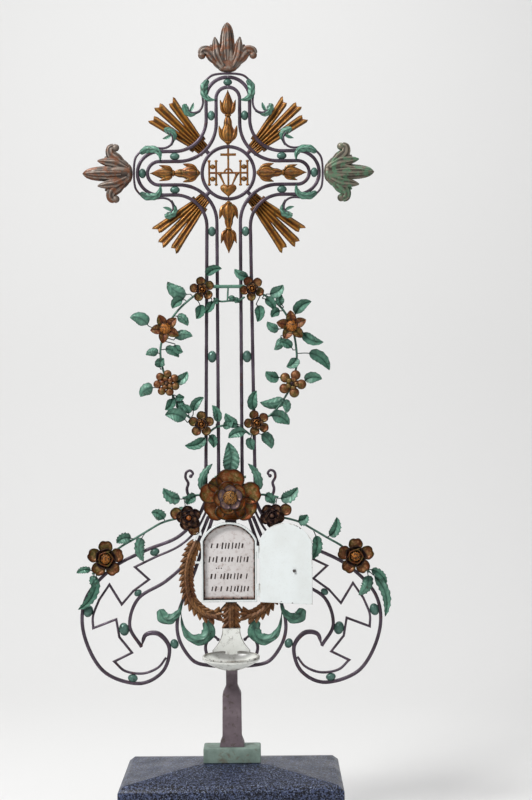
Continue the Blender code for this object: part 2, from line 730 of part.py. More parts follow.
def finial():
    """A cast palmette drawn upright: a pointed middle, two side lobes and two lobes that curl over."""
    foot = FINIAL_FOOT
    core = drawn([(0, foot - 6), (0, foot + 14), (0, foot + 62), (0, foot + 96), (0, foot + 111)])
    parts = [swept(core, CORE_WIDTH, CORE_DEPTH, (0.6, 1.15, 1.0, 0.75, 0.0), sides=0)]
    for side in (-1, 1):
        lobe = drawn([(side * 8, foot + 12), (side * 18, foot + 48), (side * 22, foot + 77)])
        parts.append(swept(lobe, LOBE_WIDTH, LOBE_DEPTH, (0.0, 1.0, 0.0), side * GAP, sides=0))
        curl = drawn([(side * 6, foot + 8), (side * 24, foot + 14), (side * 40, foot + 40),
                      (side * 56, foot + 48), (side * 69, foot + 28)])
        curl_swell = (0.6, 1.1, 0.85, 0.75, 0.35)
        parts.append(swept(curl, CURL_WIDTH, CURL_DEPTH, curl_swell, side * 2 * GAP, sides=0))
        spike = drawn([(side * 30, foot + 28), (side * 41, foot + 62)])
        parts.append(swept(spike, SPIKE_WIDTH, SPIKE_WIDTH, (1.0, 0.0), -side * GAP, sides=0))
    return joined(parts)


def make_arm_ends():
    """A bow with acanthus leaves and a finial on each of the three upper arms."""
    wrapped = bow()
    cast = finial()
    for name, reach, turn in (("top", TOP_ARM, 0), ("left", SIDE_ARM, 90), ("right", SIDE_ARM, -90)):
        spin = Matrix.Translation((0.0, CENTRE_Y, 0.0)) @ Matrix.Rotation(math.radians(turn), 4, "Z")
        for label, shape, finish in (("arm_bow_", wrapped, "verdigris"), ("finial_", cast, "finial_bronze")):
            mesh = shape.copy()
            mesh.transform(spin @ Matrix.Translation((0.0, reach, 0.0)))
            piece(label + name, mesh, finish)


def blossom(petals, radius, depth, profile, lobe=0.24, points=4):
    """A flower: a globe whose rings follow a profile and whose rim is waved into petals."""
    rings = len(profile) + 1
    bm = bmesh.new()
    bmesh.ops.create_uvsphere(bm, u_segments=petals * points, v_segments=rings, radius=1.0)
    bm.verts.ensure_lookup_table()
    for vert in bm.verts:
        polar = math.acos(max(-1.0, min(1.0, vert.co.z)))
        row = round(polar / math.pi * rings)
        if row == 0:
            vert.co = (0.0, 0.0, depth)
        elif row == rings:
            vert.co = (0.0, 0.0, 0.0)
        else:
            spread, rise, wave = profile[row - 1]
            angle = math.atan2(vert.co.y, vert.co.x)
            edge = 1.0 - lobe * wave * (1.0 - abs(math.cos(petals * angle / 2)) ** 0.6)
            vert.co = (radius * spread * edge * math.cos(angle), radius * spread * edge * math.sin(angle),
                       depth * rise)
    mesh = bpy.data.meshes.new("blossom")
    bm.to_mesh(mesh)
    bm.free()
    return mesh


WREATH_FLOWERS = (
    ("wreath_flower_1", -61, 1083, 29, CUPPED), ("wreath_flower_2", 53, 1084, 29, CUPPED),
    ("wreath_flower_3", 143, 998, 36, OPEN), ("wreath_flower_4", 143, 866, 32, CUPPED),
    ("wreath_flower_5", 62, 777, 30, CUPPED), ("wreath_flower_6", -65, 775, 30, CUPPED),
    ("wreath_flower_7", -144, 869, 31, OPEN), ("wreath_flower_8", -146, 994, 35, OPEN),
)


def put_blossom(name, mesh, x, y, h, turn=0.0):
    """Hang a blossom on the drawing with its own origin at its middle."""
    ob = piece(name, mesh, "flower_bronze")
    ob.location = (x * UNIT, y * UNIT, h)
    ob.rotation_euler.z = turn
    return ob


def make_wreath_flowers():
    """The eight flowers of the wreath."""
    for i, (name, x, y, radius, profile) in enumerate(WREATH_FLOWERS):
        lobe = 0.34 if profile is OPEN else 0.24
        points = 2 if profile is OPEN else 4
        mesh = blossom(5, radius * UNIT, FLOWER_DEPTH, profile, lobe, points)
        put_blossom(name, mesh, x, y, FLOWER_H, math.radians(18 + 23 * i))


LEFT_STEM = ((-50, 1087), (-84, 1066), (-120, 1033), (-145, 994), (-158, 950), (-155, 910), (-142, 869),
             (-120, 820), (-94, 791), (-58, 775))
RIGHT_STEM = ((44, 1087), (84, 1068), (120, 1040), (143, 998), (153, 950), (153, 905), (141, 862),
              (118, 822), (92, 794), (56, 777))
LEFT_LEAVES = (
    (-54, 1110, -16, 1131, 18), (-88, 1073, -141, 1102, 27), (-101, 1060, -130, 1040, 20),
    (-69, 1053, -76, 1016, 20), (-40, 1062, -58, 1030, 16), (-127, 1023, -95, 1000, 18),
    (-185, 1000, -228, 1020, 26), (-128, 968, -84, 976, 20), (-125, 959, -106, 940, 17),
    (-154, 946, -116, 928, 18), (-157, 935, -192, 934, 17), (-158, 901, -150, 926, 20),
    (-129, 872, -97, 896, 20), (-171, 859, -205, 838, 24), (-132, 842, -149, 808, 18),
    (-124, 833, -115, 798, 18), (-126, 842, -104, 838, 15), (-97, 778, -149, 796, 27),
    (-94, 794, -110, 818, 17), (-84, 797, -59, 836, 18),
)
RIGHT_LEAVES = (
    (51, 1112, 13, 1130, 18), (86, 1072, 124, 1093, 22), (62, 1049, 64, 1008, 20),
    (76, 1062, 104, 1034, 18), (125, 1042, 119, 1074, 17), (121, 1033, 97, 1018, 18),
    (150, 1018, 189, 1054, 22), (165, 991, 216, 961, 20), (118, 992, 87, 1009, 18),
    (118, 976, 102, 944, 17), (146, 943, 109, 960, 18), (156, 933, 130, 905, 20),
    (170, 936, 229, 896, 23), (117, 881, 83, 895, 22), (168, 868, 212, 876, 22),
    (133, 842, 69, 824, 22), (120, 833, 128, 798, 17), (87, 791, 136, 772, 26),
    (60, 800, 62, 851, 20),
)
TOP_LEAVES = ((-20, 1056, -36, 1050, 12), (0, 1057, 14, 1064, 12), (8, 1057, 24, 1052, 12))
BOTTOM_LEAVES = (
    (26, 772, -10, 800, 20), (-32, 772, -41, 818, 17), (-22, 770, 6, 786, 16), (-52, 752, -104, 726, 20),
    (-52, 752, -38, 720, 18), (44, 752, -4, 742, 20), (50, 748, 55, 715, 18), (66, 752, 95, 717, 22),
)


def leafy(stem, leaves, width):
    """A stem with leaves; each leaf springs from the nearest place on the stem."""
    parts = [swept(stem, width, TRIM_DEPTH, h=SPRAY_H)]
    inner = [stem[0].lerp(stem[1], 0.2)] + stem[1:-1] + [stem[-1].lerp(stem[-2], 0.2)]
    for i, (x0, y0, x1, y1, wide) in enumerate(leaves):
        start = Vector((x0, y0)) * UNIT
        near = nearest(inner, start)
        parts.append(leaf(near.lerp(start, 0.8), Vector((x1, y1)) * UNIT, wide * UNIT,
                          SPRAY_H + (i % 3 - 1) * GAP / 2, stalk=near))
    return joined(parts)


def make_wreath():
    """The wreath's stems with their leaves, in four lengths that meet behind the flowers."""
    piece("wreath_stem_left", leafy(drawn(LEFT_STEM), LEFT_LEAVES, STEM_WIDTH), "verdigris")
    piece("wreath_stem_right", leafy(drawn(RIGHT_STEM), RIGHT_LEAVES, STEM_WIDTH), "verdigris")
    rail = [swept(drawn([(-42, 1090), (36, 1090)]), RAIL_WIDTH, TRIM_DEPTH, h=SPRAY_H)]
    twig = drawn([(-36, 1064), (-20, 1056), (0, 1057), (22, 1058), (36, 1066)])
    rail.append(swept(drawn([(-2, 1090), (-4, 1056)]), TIE_WIDTH, TIE_DEPTH, h=SPRAY_H))
    top = joined([leafy(twig, TOP_LEAVES, TWIG_WIDTH)] + rail)
    piece("wreath_rail_top", top, "verdigris")
    twig = drawn([(-52, 752), (-30, 768), (0, 771), (24, 766), (46, 750)])
    piece("wreath_twig_bottom", leafy(twig, BOTTOM_LEAVES, STEM_WIDTH), "verdigris")


def make_roses():
    """The rose in the middle, a smaller one on each side and the two flowers on the base scrolls."""
    rose = blossom(5, 72 * UNIT, ROSE_DEPTH, ROSE, 0.22)
    rose.transform(Matrix.Diagonal((1.0, ROSE_SQUASH, 1.0, 1.0)))
    put_blossom("rose_middle", rose, 0, 607, BAR_FRONT + GAP)
    for name, x, y, radius in (("rose_left", -95, 561, 29), ("rose_right", 95, 565, 29)):
        mesh = blossom(5, radius * UNIT, SMALL_ROSE_DEPTH, SMALL_ROSE, 0.12)
        put_blossom(name, mesh, x, y, FLOWER_H, 0.3)
    for name, x, y in (("base_flower_left", -285, 469), ("base_flower_right", 285, 471)):
        mesh = blossom(5, 43 * UNIT, BASE_FLOWER_DEPTH, CUPPED, 0.26)
        put_blossom(name, mesh, x, y, FLOWER_H, math.radians(90))


BRANCH = ((-90, 564), (-130, 557), (-160, 548), (-190, 531), (-222, 512), (-256, 492), (-292, 462),
          (-318, 432))
LEFT_BRANCH_LEAVES = (
    (-150, 552, -182, 573, 24), (-222, 512, -262, 503, 24), (-196, 526, -200, 460, 22),
    (-310, 440, -364, 351, 26), (-314, 438, -366, 435, 16), (-312, 436, -302, 398, 20),
)
RIGHT_BRANCH_LEAVES = (
    (150, 552, 176, 566, 24), (218, 512, 243, 560, 22), (190, 528, 182, 462, 22),
    (310, 440, 372, 400, 22), (314, 436, 366, 326, 26), (312, 436, 292, 380, 24),
)


def make_branches():
    """Leafy branches from the side roses to the flowers on the scrolls."""
    left = drawn(BRANCH)
    right = drawn([(-x, y) for x, y in BRANCH])
    piece("leaf_branch_left", leafy(left, LEFT_BRANCH_LEAVES, STEM_WIDTH), "verdigris")
    piece("leaf_branch_right", leafy(right, RIGHT_BRANCH_LEAVES, STEM_WIDTH), "verdigris")


def rose_spray():
    """Leaves and an S-shaped curl on the left of the middle rose."""
    stem = drawn([(-51, 606), (-74, 612), (-110, 606)])
    curl = drawn([(-74, 612), (-92, 632), (-103, 650), (-97, 666), (-84, 662)])
    parts = [
        swept(stem, TWIG_WIDTH, TRIM_DEPTH, h=SPRAY_H),
        swept(curl, THIN_WIDTH, TRIM_DEPTH - 2 * GAP, h=SPRAY_H),
        leaf(*drawn([(-106, 604), (-154, 629)]), 26 * UNIT),
        leaf(*drawn([(-72, 611), (-98, 622)]), 20 * UNIT),
        leaf(*drawn([(-58, 607), (-48, 668)]), 20 * UNIT),
    ]
    return joined(parts)


def make_rose_sprays():
    """Sprays on both sides of the middle rose and the broad leaf above it."""
    spray = rose_spray()
    piece("rose_spray_left", spray, "verdigris")
    piece("rose_spray_right", mirrored(spray), "verdigris")
    tall = drawn([(0, 646), (0, 668), (3, 700), (-4, 733)])
    broad = [
        swept(tall, BROAD_LEAF_WIDTH, TRIM_DEPTH, (0.3, 0.85, 1.0, 0.06), SPRAY_H, sides=0),
        swept(drawn([(-36, 653), (36, 653)]), STRIP_WIDTH, TRIM_DEPTH, h=SPRAY_H),
    ]
    piece("rose_leaf_broad", joined(broad), "verdigris")


def laurel(path, width, clusters):
    """A laurel string: a sweep whose width steps like overlapping leaves."""
    knots = [Vector(p) for p in path]
    lengths = [0.0]
    for a, b in zip(knots, knots[1:]):
        lengths.append(lengths[-1] + (b - a).length)
    points = []
    swell = []
    for i in range(clusters):
        for share, size in ((0.0, 0.62), (0.72, 1.0)):
            target = lengths[-1] * (i + share) / clusters
            k = max(j for j in range(len(knots) - 1) if lengths[j] <= target + 1e-9)
            along = (target - lengths[k]) / (lengths[k + 1] - lengths[k])
            points.append(knots[k].lerp(knots[k + 1], along))
            swell.append(size)
    points.append(knots[-1])
    swell.append(0.5)
    return swept(points, width, LAUREL_DEPTH, swell, GARLAND_H, sides=0)


def make_garland():
    """The laurel hung round the case: a string down each side, swags and a drop."""
    string = smooth(drawn([(-84, 512), (-97, 450), (-99, 396), (-86, 352), (-58, 338), (-28, 352),
                           (-6, 362)]), 3)
    parts = [laurel(string, LAUREL_WIDTH, 9)]
    parts.append(mirrored(parts[0]))
    drop = smooth(drawn([(0, 364), (0, 304)]), 2)
    parts.append(laurel(drop, LAUREL_DROP_WIDTH, 3))
    case_low = CASE_SHIFT - CASE_WIDTH / 2 - 2 * GAP
    case_high = CASE_SHIFT + CASE_WIDTH / 2 + 2 * GAP
    room = block((case_low, CASE_BOTTOM_Y - 2 * GAP, 0.0),
                 (case_high + 2 * KNUCKLE_RADIUS, CASE_BOTTOM_Y + CASE_HEIGHT, CASE_FRONT_H + CASE_DEPTH))
    piece("laurel_garland", joined(parts, [room]), "laurel_rust")


def arched(half, bottom, height, rise, middle=0.0, steps=7):
    """Outline of a tablet with a segmental arch on top."""
    radius = (half ** 2 + rise ** 2) / (2 * rise)
    centre_y = bottom + height - radius
    start = math.atan2(bottom + height - rise - centre_y, half)
    points = [Vector((middle - half, bottom)), Vector((middle + half, bottom))]
    for i in range(steps + 1):
        angle = start + (math.pi - 2 * start) * i / steps
        points.append(Vector((middle + radius * math.cos(angle), centre_y + radius * math.sin(angle))))
    return points


def make_case():
    """The hollow case behind the cover, the inscription plate in it and the cover on its hinge."""
    half = CASE_WIDTH / 2
    left = CASE_SHIFT - half
    rim_high = CASE_HEIGHT - 2 * CASE_WALL
    shell = slab(arched(half, CASE_BOTTOM_Y, CASE_HEIGHT, CASE_RISE, CASE_SHIFT), CASE_DEPTH, CASE_BACK_H)
    hollow = slab(arched(half - CASE_WALL, CASE_BOTTOM_Y + CASE_WALL, rim_high, CASE_RISE - CASE_WALL / 2,
                         CASE_SHIFT), CASE_DEPTH, CASE_BACK_H + CASE_BACK)
    fixed = []
    for share in KNUCKLE_SHARES:
        middle = CASE_BOTTOM_Y + share * CASE_HEIGHT + KNUCKLE_LENGTH * 1.5 + GAP
        low = middle - KNUCKLE_LENGTH / 2
        lug = block((CASE_SHIFT + half - CASE_WALL / 2, low, CASE_FRONT_H - CASE_WALL),
                    (HINGE_X, low + KNUCKLE_LENGTH, CASE_FRONT_H))
        fixed.append(lug)
        fixed.append(rod((HINGE_X, middle, HINGE_H), KNUCKLE_RADIUS, KNUCKLE_LENGTH, "Y"))
    ear_low = CASE_BOTTOM_Y + CASE_HEIGHT - CASE_RISE - EAR_HOLD
    ear_front = CASE_FRONT_H - EAR_SET_BACK
    ear = block((left - EAR_LENGTH, ear_low, ear_front - EAR_THICK),
                (left + CASE_WALL / 2, ear_low + EAR_WIDTH, ear_front))
    latch_low = CASE_BOTTOM_Y + LATCH_UP * CASE_HEIGHT
    latch_front = ear_front - BITE
    latch = block((left - LATCH_LENGTH, latch_low, latch_front - EAR_THICK),
                  (left + CASE_WALL / 2, latch_low + LATCH_WIDTH, latch_front))
    piece("inscription_case", joined([shell, ear, latch] + fixed, [hollow]), "white_enamel", False)
    fit = CASE_WALL + PLATE_FIT
    plate = slab(arched(half - fit, CASE_BOTTOM_Y + fit, CASE_HEIGHT - 2 * fit, CASE_RISE - CASE_WALL / 2,
                        CASE_SHIFT), PLATE_THICK, CASE_BACK_H + CASE_BACK + GAP)
    piece("inscription_plate", plate, "plate_enamel", False)

    reach = KNUCKLE_RADIUS + HINGE_GAP
    leaf_width = CASE_WIDTH + KNUCKLE_RADIUS + GAP - reach
    outline = arched(leaf_width / 2, 0.0, CASE_HEIGHT, CASE_RISE, -reach - leaf_width / 2)
    cover = [slab(outline, COVER_THICK, -COVER_THICK / 2)]
    for share in KNUCKLE_SHARES:
        y = share * CASE_HEIGHT + KNUCKLE_LENGTH / 2
        cover.append(rod((0.0, y, 0.0), KNUCKLE_RADIUS, KNUCKLE_LENGTH, "Y"))
        cover.append(block((-reach - BITE, y - KNUCKLE_LENGTH / 2 + GAP, -COVER_THICK / 2 + GAP),
                           (0.0, y + KNUCKLE_LENGTH / 2 - GAP, COVER_THICK / 2 - GAP)))
    cover.append(rod((-leaf_width * KNOB_ACROSS, CASE_HEIGHT * KNOB_UP, 0.0), KNOB_RADIUS, KNOB_LENGTH))
    ob = piece("case_cover", joined(cover), "white_enamel", False)
    ob.location = (HINGE_X, CASE_BOTTOM_Y, HINGE_H)
    ob.rotation_euler.y = COVER_OPEN


def make_bowl():
    """The holy water bowl: a turned dish with a true wall, on a flared back plate."""
    radius = BOWL_WIDTH / 2
    outer = [(radius, 0.0), (radius, -BOWL_RIM), (radius * 0.80, -BOWL_HEIGHT * 0.52),
             (radius * 0.42, -BOWL_HEIGHT * 0.88), (0.0, -BOWL_HEIGHT)]
    inner = [(0.0, -BOWL_HEIGHT + BOWL_WALL), (radius * 0.40, -BOWL_HEIGHT * 0.76),
             (radius * 0.74, -BOWL_HEIGHT * 0.44), (radius - BOWL_WALL, -BOWL_WALL),
             (radius - BOWL_WALL, 0.0)]
    profile = inner + outer
    mesh = bpy.data.meshes.new("bowl")
    edges = [(i, i + 1) for i in range(len(profile) - 1)]
    mesh.from_pydata([(r, 0.0, z) for r, z in profile], edges, [])
    ob = placed(mesh, "bowl")
    turn = ob.modifiers.new("turn", "SCREW")
    turn.steps = BOWL_STEPS
    turn.render_steps = BOWL_STEPS
    turn.use_merge_vertices = True
    turn.merge_threshold = 0.0001
    ob.scale = (1.0, BOWL_STRETCH, 1.0)
    dish = taken(ob)
    dish.transform(Matrix.Rotation(-math.pi / 2, 4, "X"))
    front = POST_DEPTH / 2
    dish.transform(Matrix.Translation((0.0, BOWL_RIM_Y, front + BOWL_STRETCH * radius + GAP)))
    low_half = BACK_PLATE_WIDTH / 2
    top_half = BACK_PLATE_TOP_WIDTH / 2
    band = BACK_PLATE_HALF_BAND
    right = [Vector((low_half, BOWL_RIM_Y - band)), Vector((low_half, BOWL_RIM_Y + band)),
             Vector((top_half * 1.25, BOWL_RIM_Y + BACK_PLATE_FLARE)), Vector((top_half, BACK_PLATE_TOP_Y))]
    flare = right + [Vector((-p.x, p.y)) for p in reversed(right)]
    back = slab(flare, BACK_PLATE_THICK, front + GAP)
    screw = rod((0.0, BACK_PLATE_TOP_Y - SCREW_DROP, front + BACK_PLATE_THICK), SCREW_RADIUS, SCREW_LENGTH)
    bracket = block((-BRACKET_WIDTH / 2, BOWL_RIM_Y - BOWL_HEIGHT * 0.70, front + GAP),
                    (BRACKET_WIDTH / 2, BOWL_RIM_Y - BOWL_HEIGHT * 0.35, front + BOWL_RIM * 0.75))
    piece("holy_water_bowl", joined([dish, back, screw, bracket]), "white_enamel")


def make_post():
    """The post: a flared foot, a square body, a shoulder, a neck and the tang the bars stand against."""
    foot_y = SOCKET_HEIGHT + GAP
    neck_top = BOWL_RIM_Y - BOWL_HEIGHT * 0.75
    body = [(POST_FOOT_WIDTH, POST_DEPTH * 1.1, foot_y), (POST_WIDTH, POST_DEPTH, foot_y + POST_FOOT_RISE),
            (POST_WIDTH * 0.97, POST_DEPTH * 0.97, POST_SHOULDER_Y), (NECK_WIDTH, NECK_DEPTH, POST_NECK_Y),
            (NECK_WIDTH, NECK_DEPTH, neck_top), (NECK_WIDTH, BAR_DEPTH, neck_top + BAR_DEPTH)]
    bm = bmesh.new()
    loops = []
    for width, depth, y in body + [(NECK_WIDTH, BAR_DEPTH, TANG_TOP_Y)]:
        loops.append([bm.verts.new((sx * width / 2, y, sh * depth / 2))
                      for sx, sh in ((-1, -1), (1, -1), (1, 1), (-1, 1))])
    for low, high in zip(loops, loops[1:]):
        for i in range(4):
            bm.faces.new((low[i], low[(i + 1) % 4], high[(i + 1) % 4], high[i]))
    bm.faces.new(reversed(loops[0]))
    bm.faces.new(loops[-1])
    bmesh.ops.recalc_face_normals(bm, faces=bm.faces)
    mesh = bpy.data.meshes.new("post")
    bm.to_mesh(mesh)
    bm.free()
    backing = block((-NECK_WIDTH * 0.45, neck_top - POST_DEPTH * 0.375, 0.0),
                    (NECK_WIDTH * 0.45, BACK_PLATE_TOP_Y - BACK_PLATE_THICK, POST_DEPTH / 2 - GAP))
    piece("post", joined([mesh, backing]), "post_iron", False)


def make_socket():
    """The cast block that holds the post on the plinth."""
    half = SOCKET_WIDTH / 2
    mesh = block((-half, GAP, -SOCKET_DEPTH / 2), (half, SOCKET_HEIGHT, SOCKET_DEPTH / 2))
    ob = piece("foot_socket", mesh, "foot_iron", False)
    bevel = ob.modifiers.new("edges", "BEVEL")
    bevel.width = SOCKET_BEVEL
    bevel.segments = 1


def make_plinth():
    """The polished granite block with its hipped top and chamfered shoulder."""
    shoulder = PLINTH_HEIGHT - PLINTH_SLOPE_RISE
    half_w = PLINTH_WIDTH / 2
    half_d = PLINTH_DEPTH / 2
    levels = [(half_w, half_d, 0.0), (half_w, half_d, shoulder - PLINTH_CHAMFER),
              (half_w - PLINTH_CHAMFER, half_d - PLINTH_CHAMFER, shoulder),
              (RIDGE_WIDTH / 2, RIDGE_DEPTH / 2, PLINTH_HEIGHT)]
    bm = bmesh.new()
    loops = [[bm.verts.new((sx * w, sy * d, z)) for sx, sy in ((-1, -1), (1, -1), (1, 1), (-1, 1))]
             for w, d, z in levels]
    for low, high in zip(loops, loops[1:]):
        for i in range(4):
            bm.faces.new((low[i], low[(i + 1) % 4], high[(i + 1) % 4], high[i]))
    bm.faces.new(reversed(loops[0]))
    bm.faces.new(loops[-1])
    bmesh.ops.recalc_face_normals(bm, faces=bm.faces)
    mesh = bpy.data.meshes.new("plinth")
    bm.to_mesh(mesh)
    bm.free()
    ob = piece("granite_plinth", mesh, "granite", False)
    ob.parent = None


def make_paired(name, mesh, finish):
    """A left piece and its twin on the right."""
    piece(name + "_left", mesh, finish)
    piece(name + "_right", mirrored(mesh), finish)


def main():
    """Build the cross from the ground up."""
    clear_scene()
    stand = bpy.data.objects.new(FRONT, None)
    stand.location = (0.0, 0.0, PLINTH_HEIGHT)
    stand.rotation_euler = (math.pi / 2, 0.0, 0.0)
    collection("grave_cross").objects.link(stand)
    make_plinth()
    make_socket()
    make_post()
    make_bowl()
    make_cross_bars()
    make_base_bars()
    make_ring()
    make_trellis()
    make_buds()
    make_rays()
    make_arm_ends()
    make_wreath()
    make_wreath_flowers()
    make_roses()
    make_branches()
    make_rose_sprays()
    make_garland()
    make_case()
    for guide in list(collection("guides").objects):
        bpy.data.objects.remove(guide, do_unlink=True)


main()
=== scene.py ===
"""Looks of a wrought iron grave cross on a granite plinth.

Everything is drawn in elevation, as the solids are: x to the right, y upwards from the
plinth's top and h towards the viewer, in metres. `Surface.build` turns that drawing into
the row frame. Every surface is a loft of closed rings, computed as whole arrays.
"""

import logging
import math
from dataclasses import dataclass, field, replace
from enum import Enum
from typing import Optional, Sequence, Union

import bpy
import numpy as np
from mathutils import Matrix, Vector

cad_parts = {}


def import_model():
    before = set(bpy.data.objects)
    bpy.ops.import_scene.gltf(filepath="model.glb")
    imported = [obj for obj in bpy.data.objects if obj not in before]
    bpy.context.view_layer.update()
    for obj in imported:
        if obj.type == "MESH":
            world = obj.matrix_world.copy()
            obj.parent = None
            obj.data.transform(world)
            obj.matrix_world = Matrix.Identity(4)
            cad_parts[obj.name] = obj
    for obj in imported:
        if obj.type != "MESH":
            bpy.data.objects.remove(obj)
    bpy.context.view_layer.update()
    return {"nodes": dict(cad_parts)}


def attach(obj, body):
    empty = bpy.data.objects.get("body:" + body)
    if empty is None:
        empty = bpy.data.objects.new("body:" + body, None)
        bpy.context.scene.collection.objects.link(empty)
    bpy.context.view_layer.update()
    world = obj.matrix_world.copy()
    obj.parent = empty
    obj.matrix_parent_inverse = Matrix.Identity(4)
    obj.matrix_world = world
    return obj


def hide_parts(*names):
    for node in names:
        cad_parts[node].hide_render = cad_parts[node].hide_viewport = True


LOG = logging.getLogger("grave_cross")
Array = np.ndarray
Amount = Union[float, Array]
Points = Sequence[tuple[float, float]]
Colour = tuple[float, float, float]
Value = Union[float, Colour, bpy.types.NodeSocket]

# Sizes and places that the solids have too, in metres.
MM = 0.001
PLINTH_HEIGHT = 0.180
CENTRE_Y = 1.352
TOP_ARM = 0.170
SIDE_ARM = 0.159
OUTER_HALF = 0.050
INNER_HALF = 0.027
OUTER_FILLET = 0.073
INNER_FILLET = 0.087
OUTER_FOOT_HALF = 0.057
BAR_END_Y = 0.600
BAR_WIDTH = 0.008
BAR_DEPTH = 0.010
BAR_FRONT = BAR_DEPTH / 2
THIN_WIDTH = 0.0055
RING_RADIUS = 0.060
SPRAY_H = 0.0088
FLOWER_H = 0.0126
GARLAND_H = 0.0125
KNUCKLE_RADIUS = 0.0026
KNUCKLE_LENGTH = 0.014
KNUCKLE_PLACES = (0.014, 0.100)
COVER_OPEN = math.radians(160)

# Habits of the drawing: angles, shares, and sizes in metres or, where the name says so, millimetres.
SHARP_ANGLE = math.radians(38.0)
GOLDEN_ANGLE = 2.39996
ARC_STEP = math.radians(6)
BEND_POINTS = 24
CORNER_STEPS = 6
DISPLAY_POWER = 2.2
FLOWER_DEPTH = 20.0
PETAL_LEAN = 0.15
SPRAY_ROOT_MM = 64.6
SPRAY_LENGTH_MM = 127.5
STROKE_SEED = 11
SENSOR = 24.0
STEM_HALF = 0.0011
STEM_ROUND = 0.0012
RIB_SPREAD = 0.16
RIM_START = 0.72


# ---------------------------------------------------------------- surfaces
@dataclass
class Surface:
    """A closed surface in the drawing, with two shading masks for its finish.

    Attributes:
        points: vertices (n, 3) as x, y, h.
        quads: four-cornered faces (k, 4).
        tris: three-cornered faces (m, 3).
        tone: relief at each vertex, from 0 in a hollow to 1 on a ridge; the paint finishes turn it into painted shade
            and painted highlight, and the enamel puts its stains where it is low.
        part: which part of a piece a vertex belongs to, from 0 to 1.
    """

    points: Array
    quads: Array
    tris: Array
    tone: Array
    part: Array

    @staticmethod
    def merged(surfaces: Sequence["Surface"]) -> "Surface":
        """Put several surfaces into one.

        Args:
            surfaces: the surfaces to put together.

        Returns:
            One surface that holds them all.
        """
        starts = np.cumsum([0] + [len(s.points) for s in surfaces[:-1]])
        return Surface(
            np.concatenate([s.points for s in surfaces]),
            np.concatenate([s.quads + a for s, a in zip(surfaces, starts)]),
            np.concatenate([s.tris + a for s, a in zip(surfaces, starts)]),
            np.concatenate([s.tone for s in surfaces]),
            np.concatenate([s.part for s in surfaces]),
        )

    def moved(self, x: float = 0.0, y: float = 0.0, h: float = 0.0) -> "Surface":
        """Return the surface moved by a distance in the drawing."""
        return replace(self, points=self.points + np.array([x, y, h]))

    def scaled(self, x: float = 1.0, h: float = 1.0) -> "Surface":
        """Return the surface scaled across or towards the viewer, about the drawing's origin."""
        return replace(self, points=self.points * np.array([x, 1.0, h]))

    def spun(self, angle: float, first: int, second: int, centre: tuple[float, float]) -> "Surface":
        """Return the surface turned in the plane of two of its axes.

        Args:
            angle: turn in radians, from the first axis towards the second.
            first: number of the first axis.
            second: number of the second axis.
            centre: the place on these two axes that stays put.

        Returns:
            The turned surface.
        """
        points = self.points.copy()
        c, s = math.cos(angle), math.sin(angle)
        u, v = points[:, first] - centre[0], points[:, second] - centre[1]
        points[:, first] = u * c - v * s + centre[0]
        points[:, second] = u * s + v * c + centre[1]
        return replace(self, points=points)

    def turned(self, angle: float, centre: tuple[float, float] = (0.0, 0.0)) -> "Surface":
        """Return the surface turned in the drawing's plane, anticlockwise for the viewer."""
        return self.spun(angle, 0, 1, centre)

    def mirrored(self) -> "Surface":
        """Return the surface on the other side of the cross's axis, its faces still outward."""
        return replace(self.scaled(x=-1.0), quads=self.quads[:, ::-1].copy(), tris=self.tris[:, ::-1].copy())

    def as_part(self, value: float) -> "Surface":
        """Return the surface marked as one part of its piece."""
        return replace(self, part=np.full(len(self.points), value))

    def build(self, name: str, finish: bpy.types.Material) -> bpy.types.Object:
        """Make the surface an object in the row frame.

        Args:
            name: the object's name.
            finish: its material.

        Returns:
            The new object, linked to the scene.
        """
        mesh = bpy.data.meshes.new(name)
        world = np.stack([self.points[:, 0], -self.points[:, 2], PLINTH_HEIGHT + self.points[:, 1]], axis=1)
        mesh.vertices.add(len(world))
        mesh.vertices.foreach_set("co", world.astype(np.float32).ravel())
        corners = np.concatenate([self.quads.ravel(), self.tris.ravel()]).astype(np.int32)
        totals = np.concatenate([np.full(len(self.quads), 4), np.full(len(self.tris), 3)]).astype(np.int32)
        starts = np.concatenate([[0], np.cumsum(totals)[:-1]]).astype(np.int32)
        mesh.loops.add(len(corners))
        mesh.loops.foreach_set("vertex_index", corners)
        mesh.polygons.add(len(totals))
        mesh.polygons.foreach_set("loop_start", starts)
        mesh.polygons.foreach_set("loop_total", totals)
        mesh.update(calc_edges=True)
        mesh.validate()
        for key, values in (("tone", self.tone), ("part", self.part)):
            layer = mesh.attributes.new(key, "FLOAT", "POINT")
            layer.data.foreach_set("value", np.clip(values, 0.0, 1.0).astype(np.float32))
        mesh.shade_smooth()
        mesh.set_sharp_from_angle(angle=SHARP_ANGLE)
        mesh.materials.append(finish)
        ob = bpy.data.objects.new(name, mesh)
        bpy.context.scene.collection.objects.link(ob)
        return ob


def shares(count: int) -> Array:
    """Even shares from 0 to 1."""
    return np.linspace(0.0, 1.0, count)


def circle(count: int) -> Array:
    """Even angles round a full turn, from 0 on."""
    return np.arange(count) / count * math.tau


def run_along(path: Array) -> Array:
    """Length of a path from its first point to each of its points."""
    return np.concatenate([[0.0], np.cumsum(np.linalg.norm(np.diff(path, axis=0), axis=1))])


def at_run(path: Array, run: Array, at: Amount) -> Array:
    """Points of a path at given lengths of its run."""
    return np.stack([np.interp(at, run, path[:, k]) for k in range(path.shape[1])], axis=-1)


def stacked(rings: Sequence[tuple[Array, float]]) -> Array:
    """Rings (n, m, 3) from flat outlines (m, 2) and their heights."""
    return np.stack([np.column_stack([ring, np.full(len(ring), h)]) for ring, h in rings])


def by_ring(values: Sequence[float], count: int) -> Array:
    """One value for each ring, repeated for its `count` vertices."""
    return np.repeat(np.array(values)[:, None], count, axis=1)


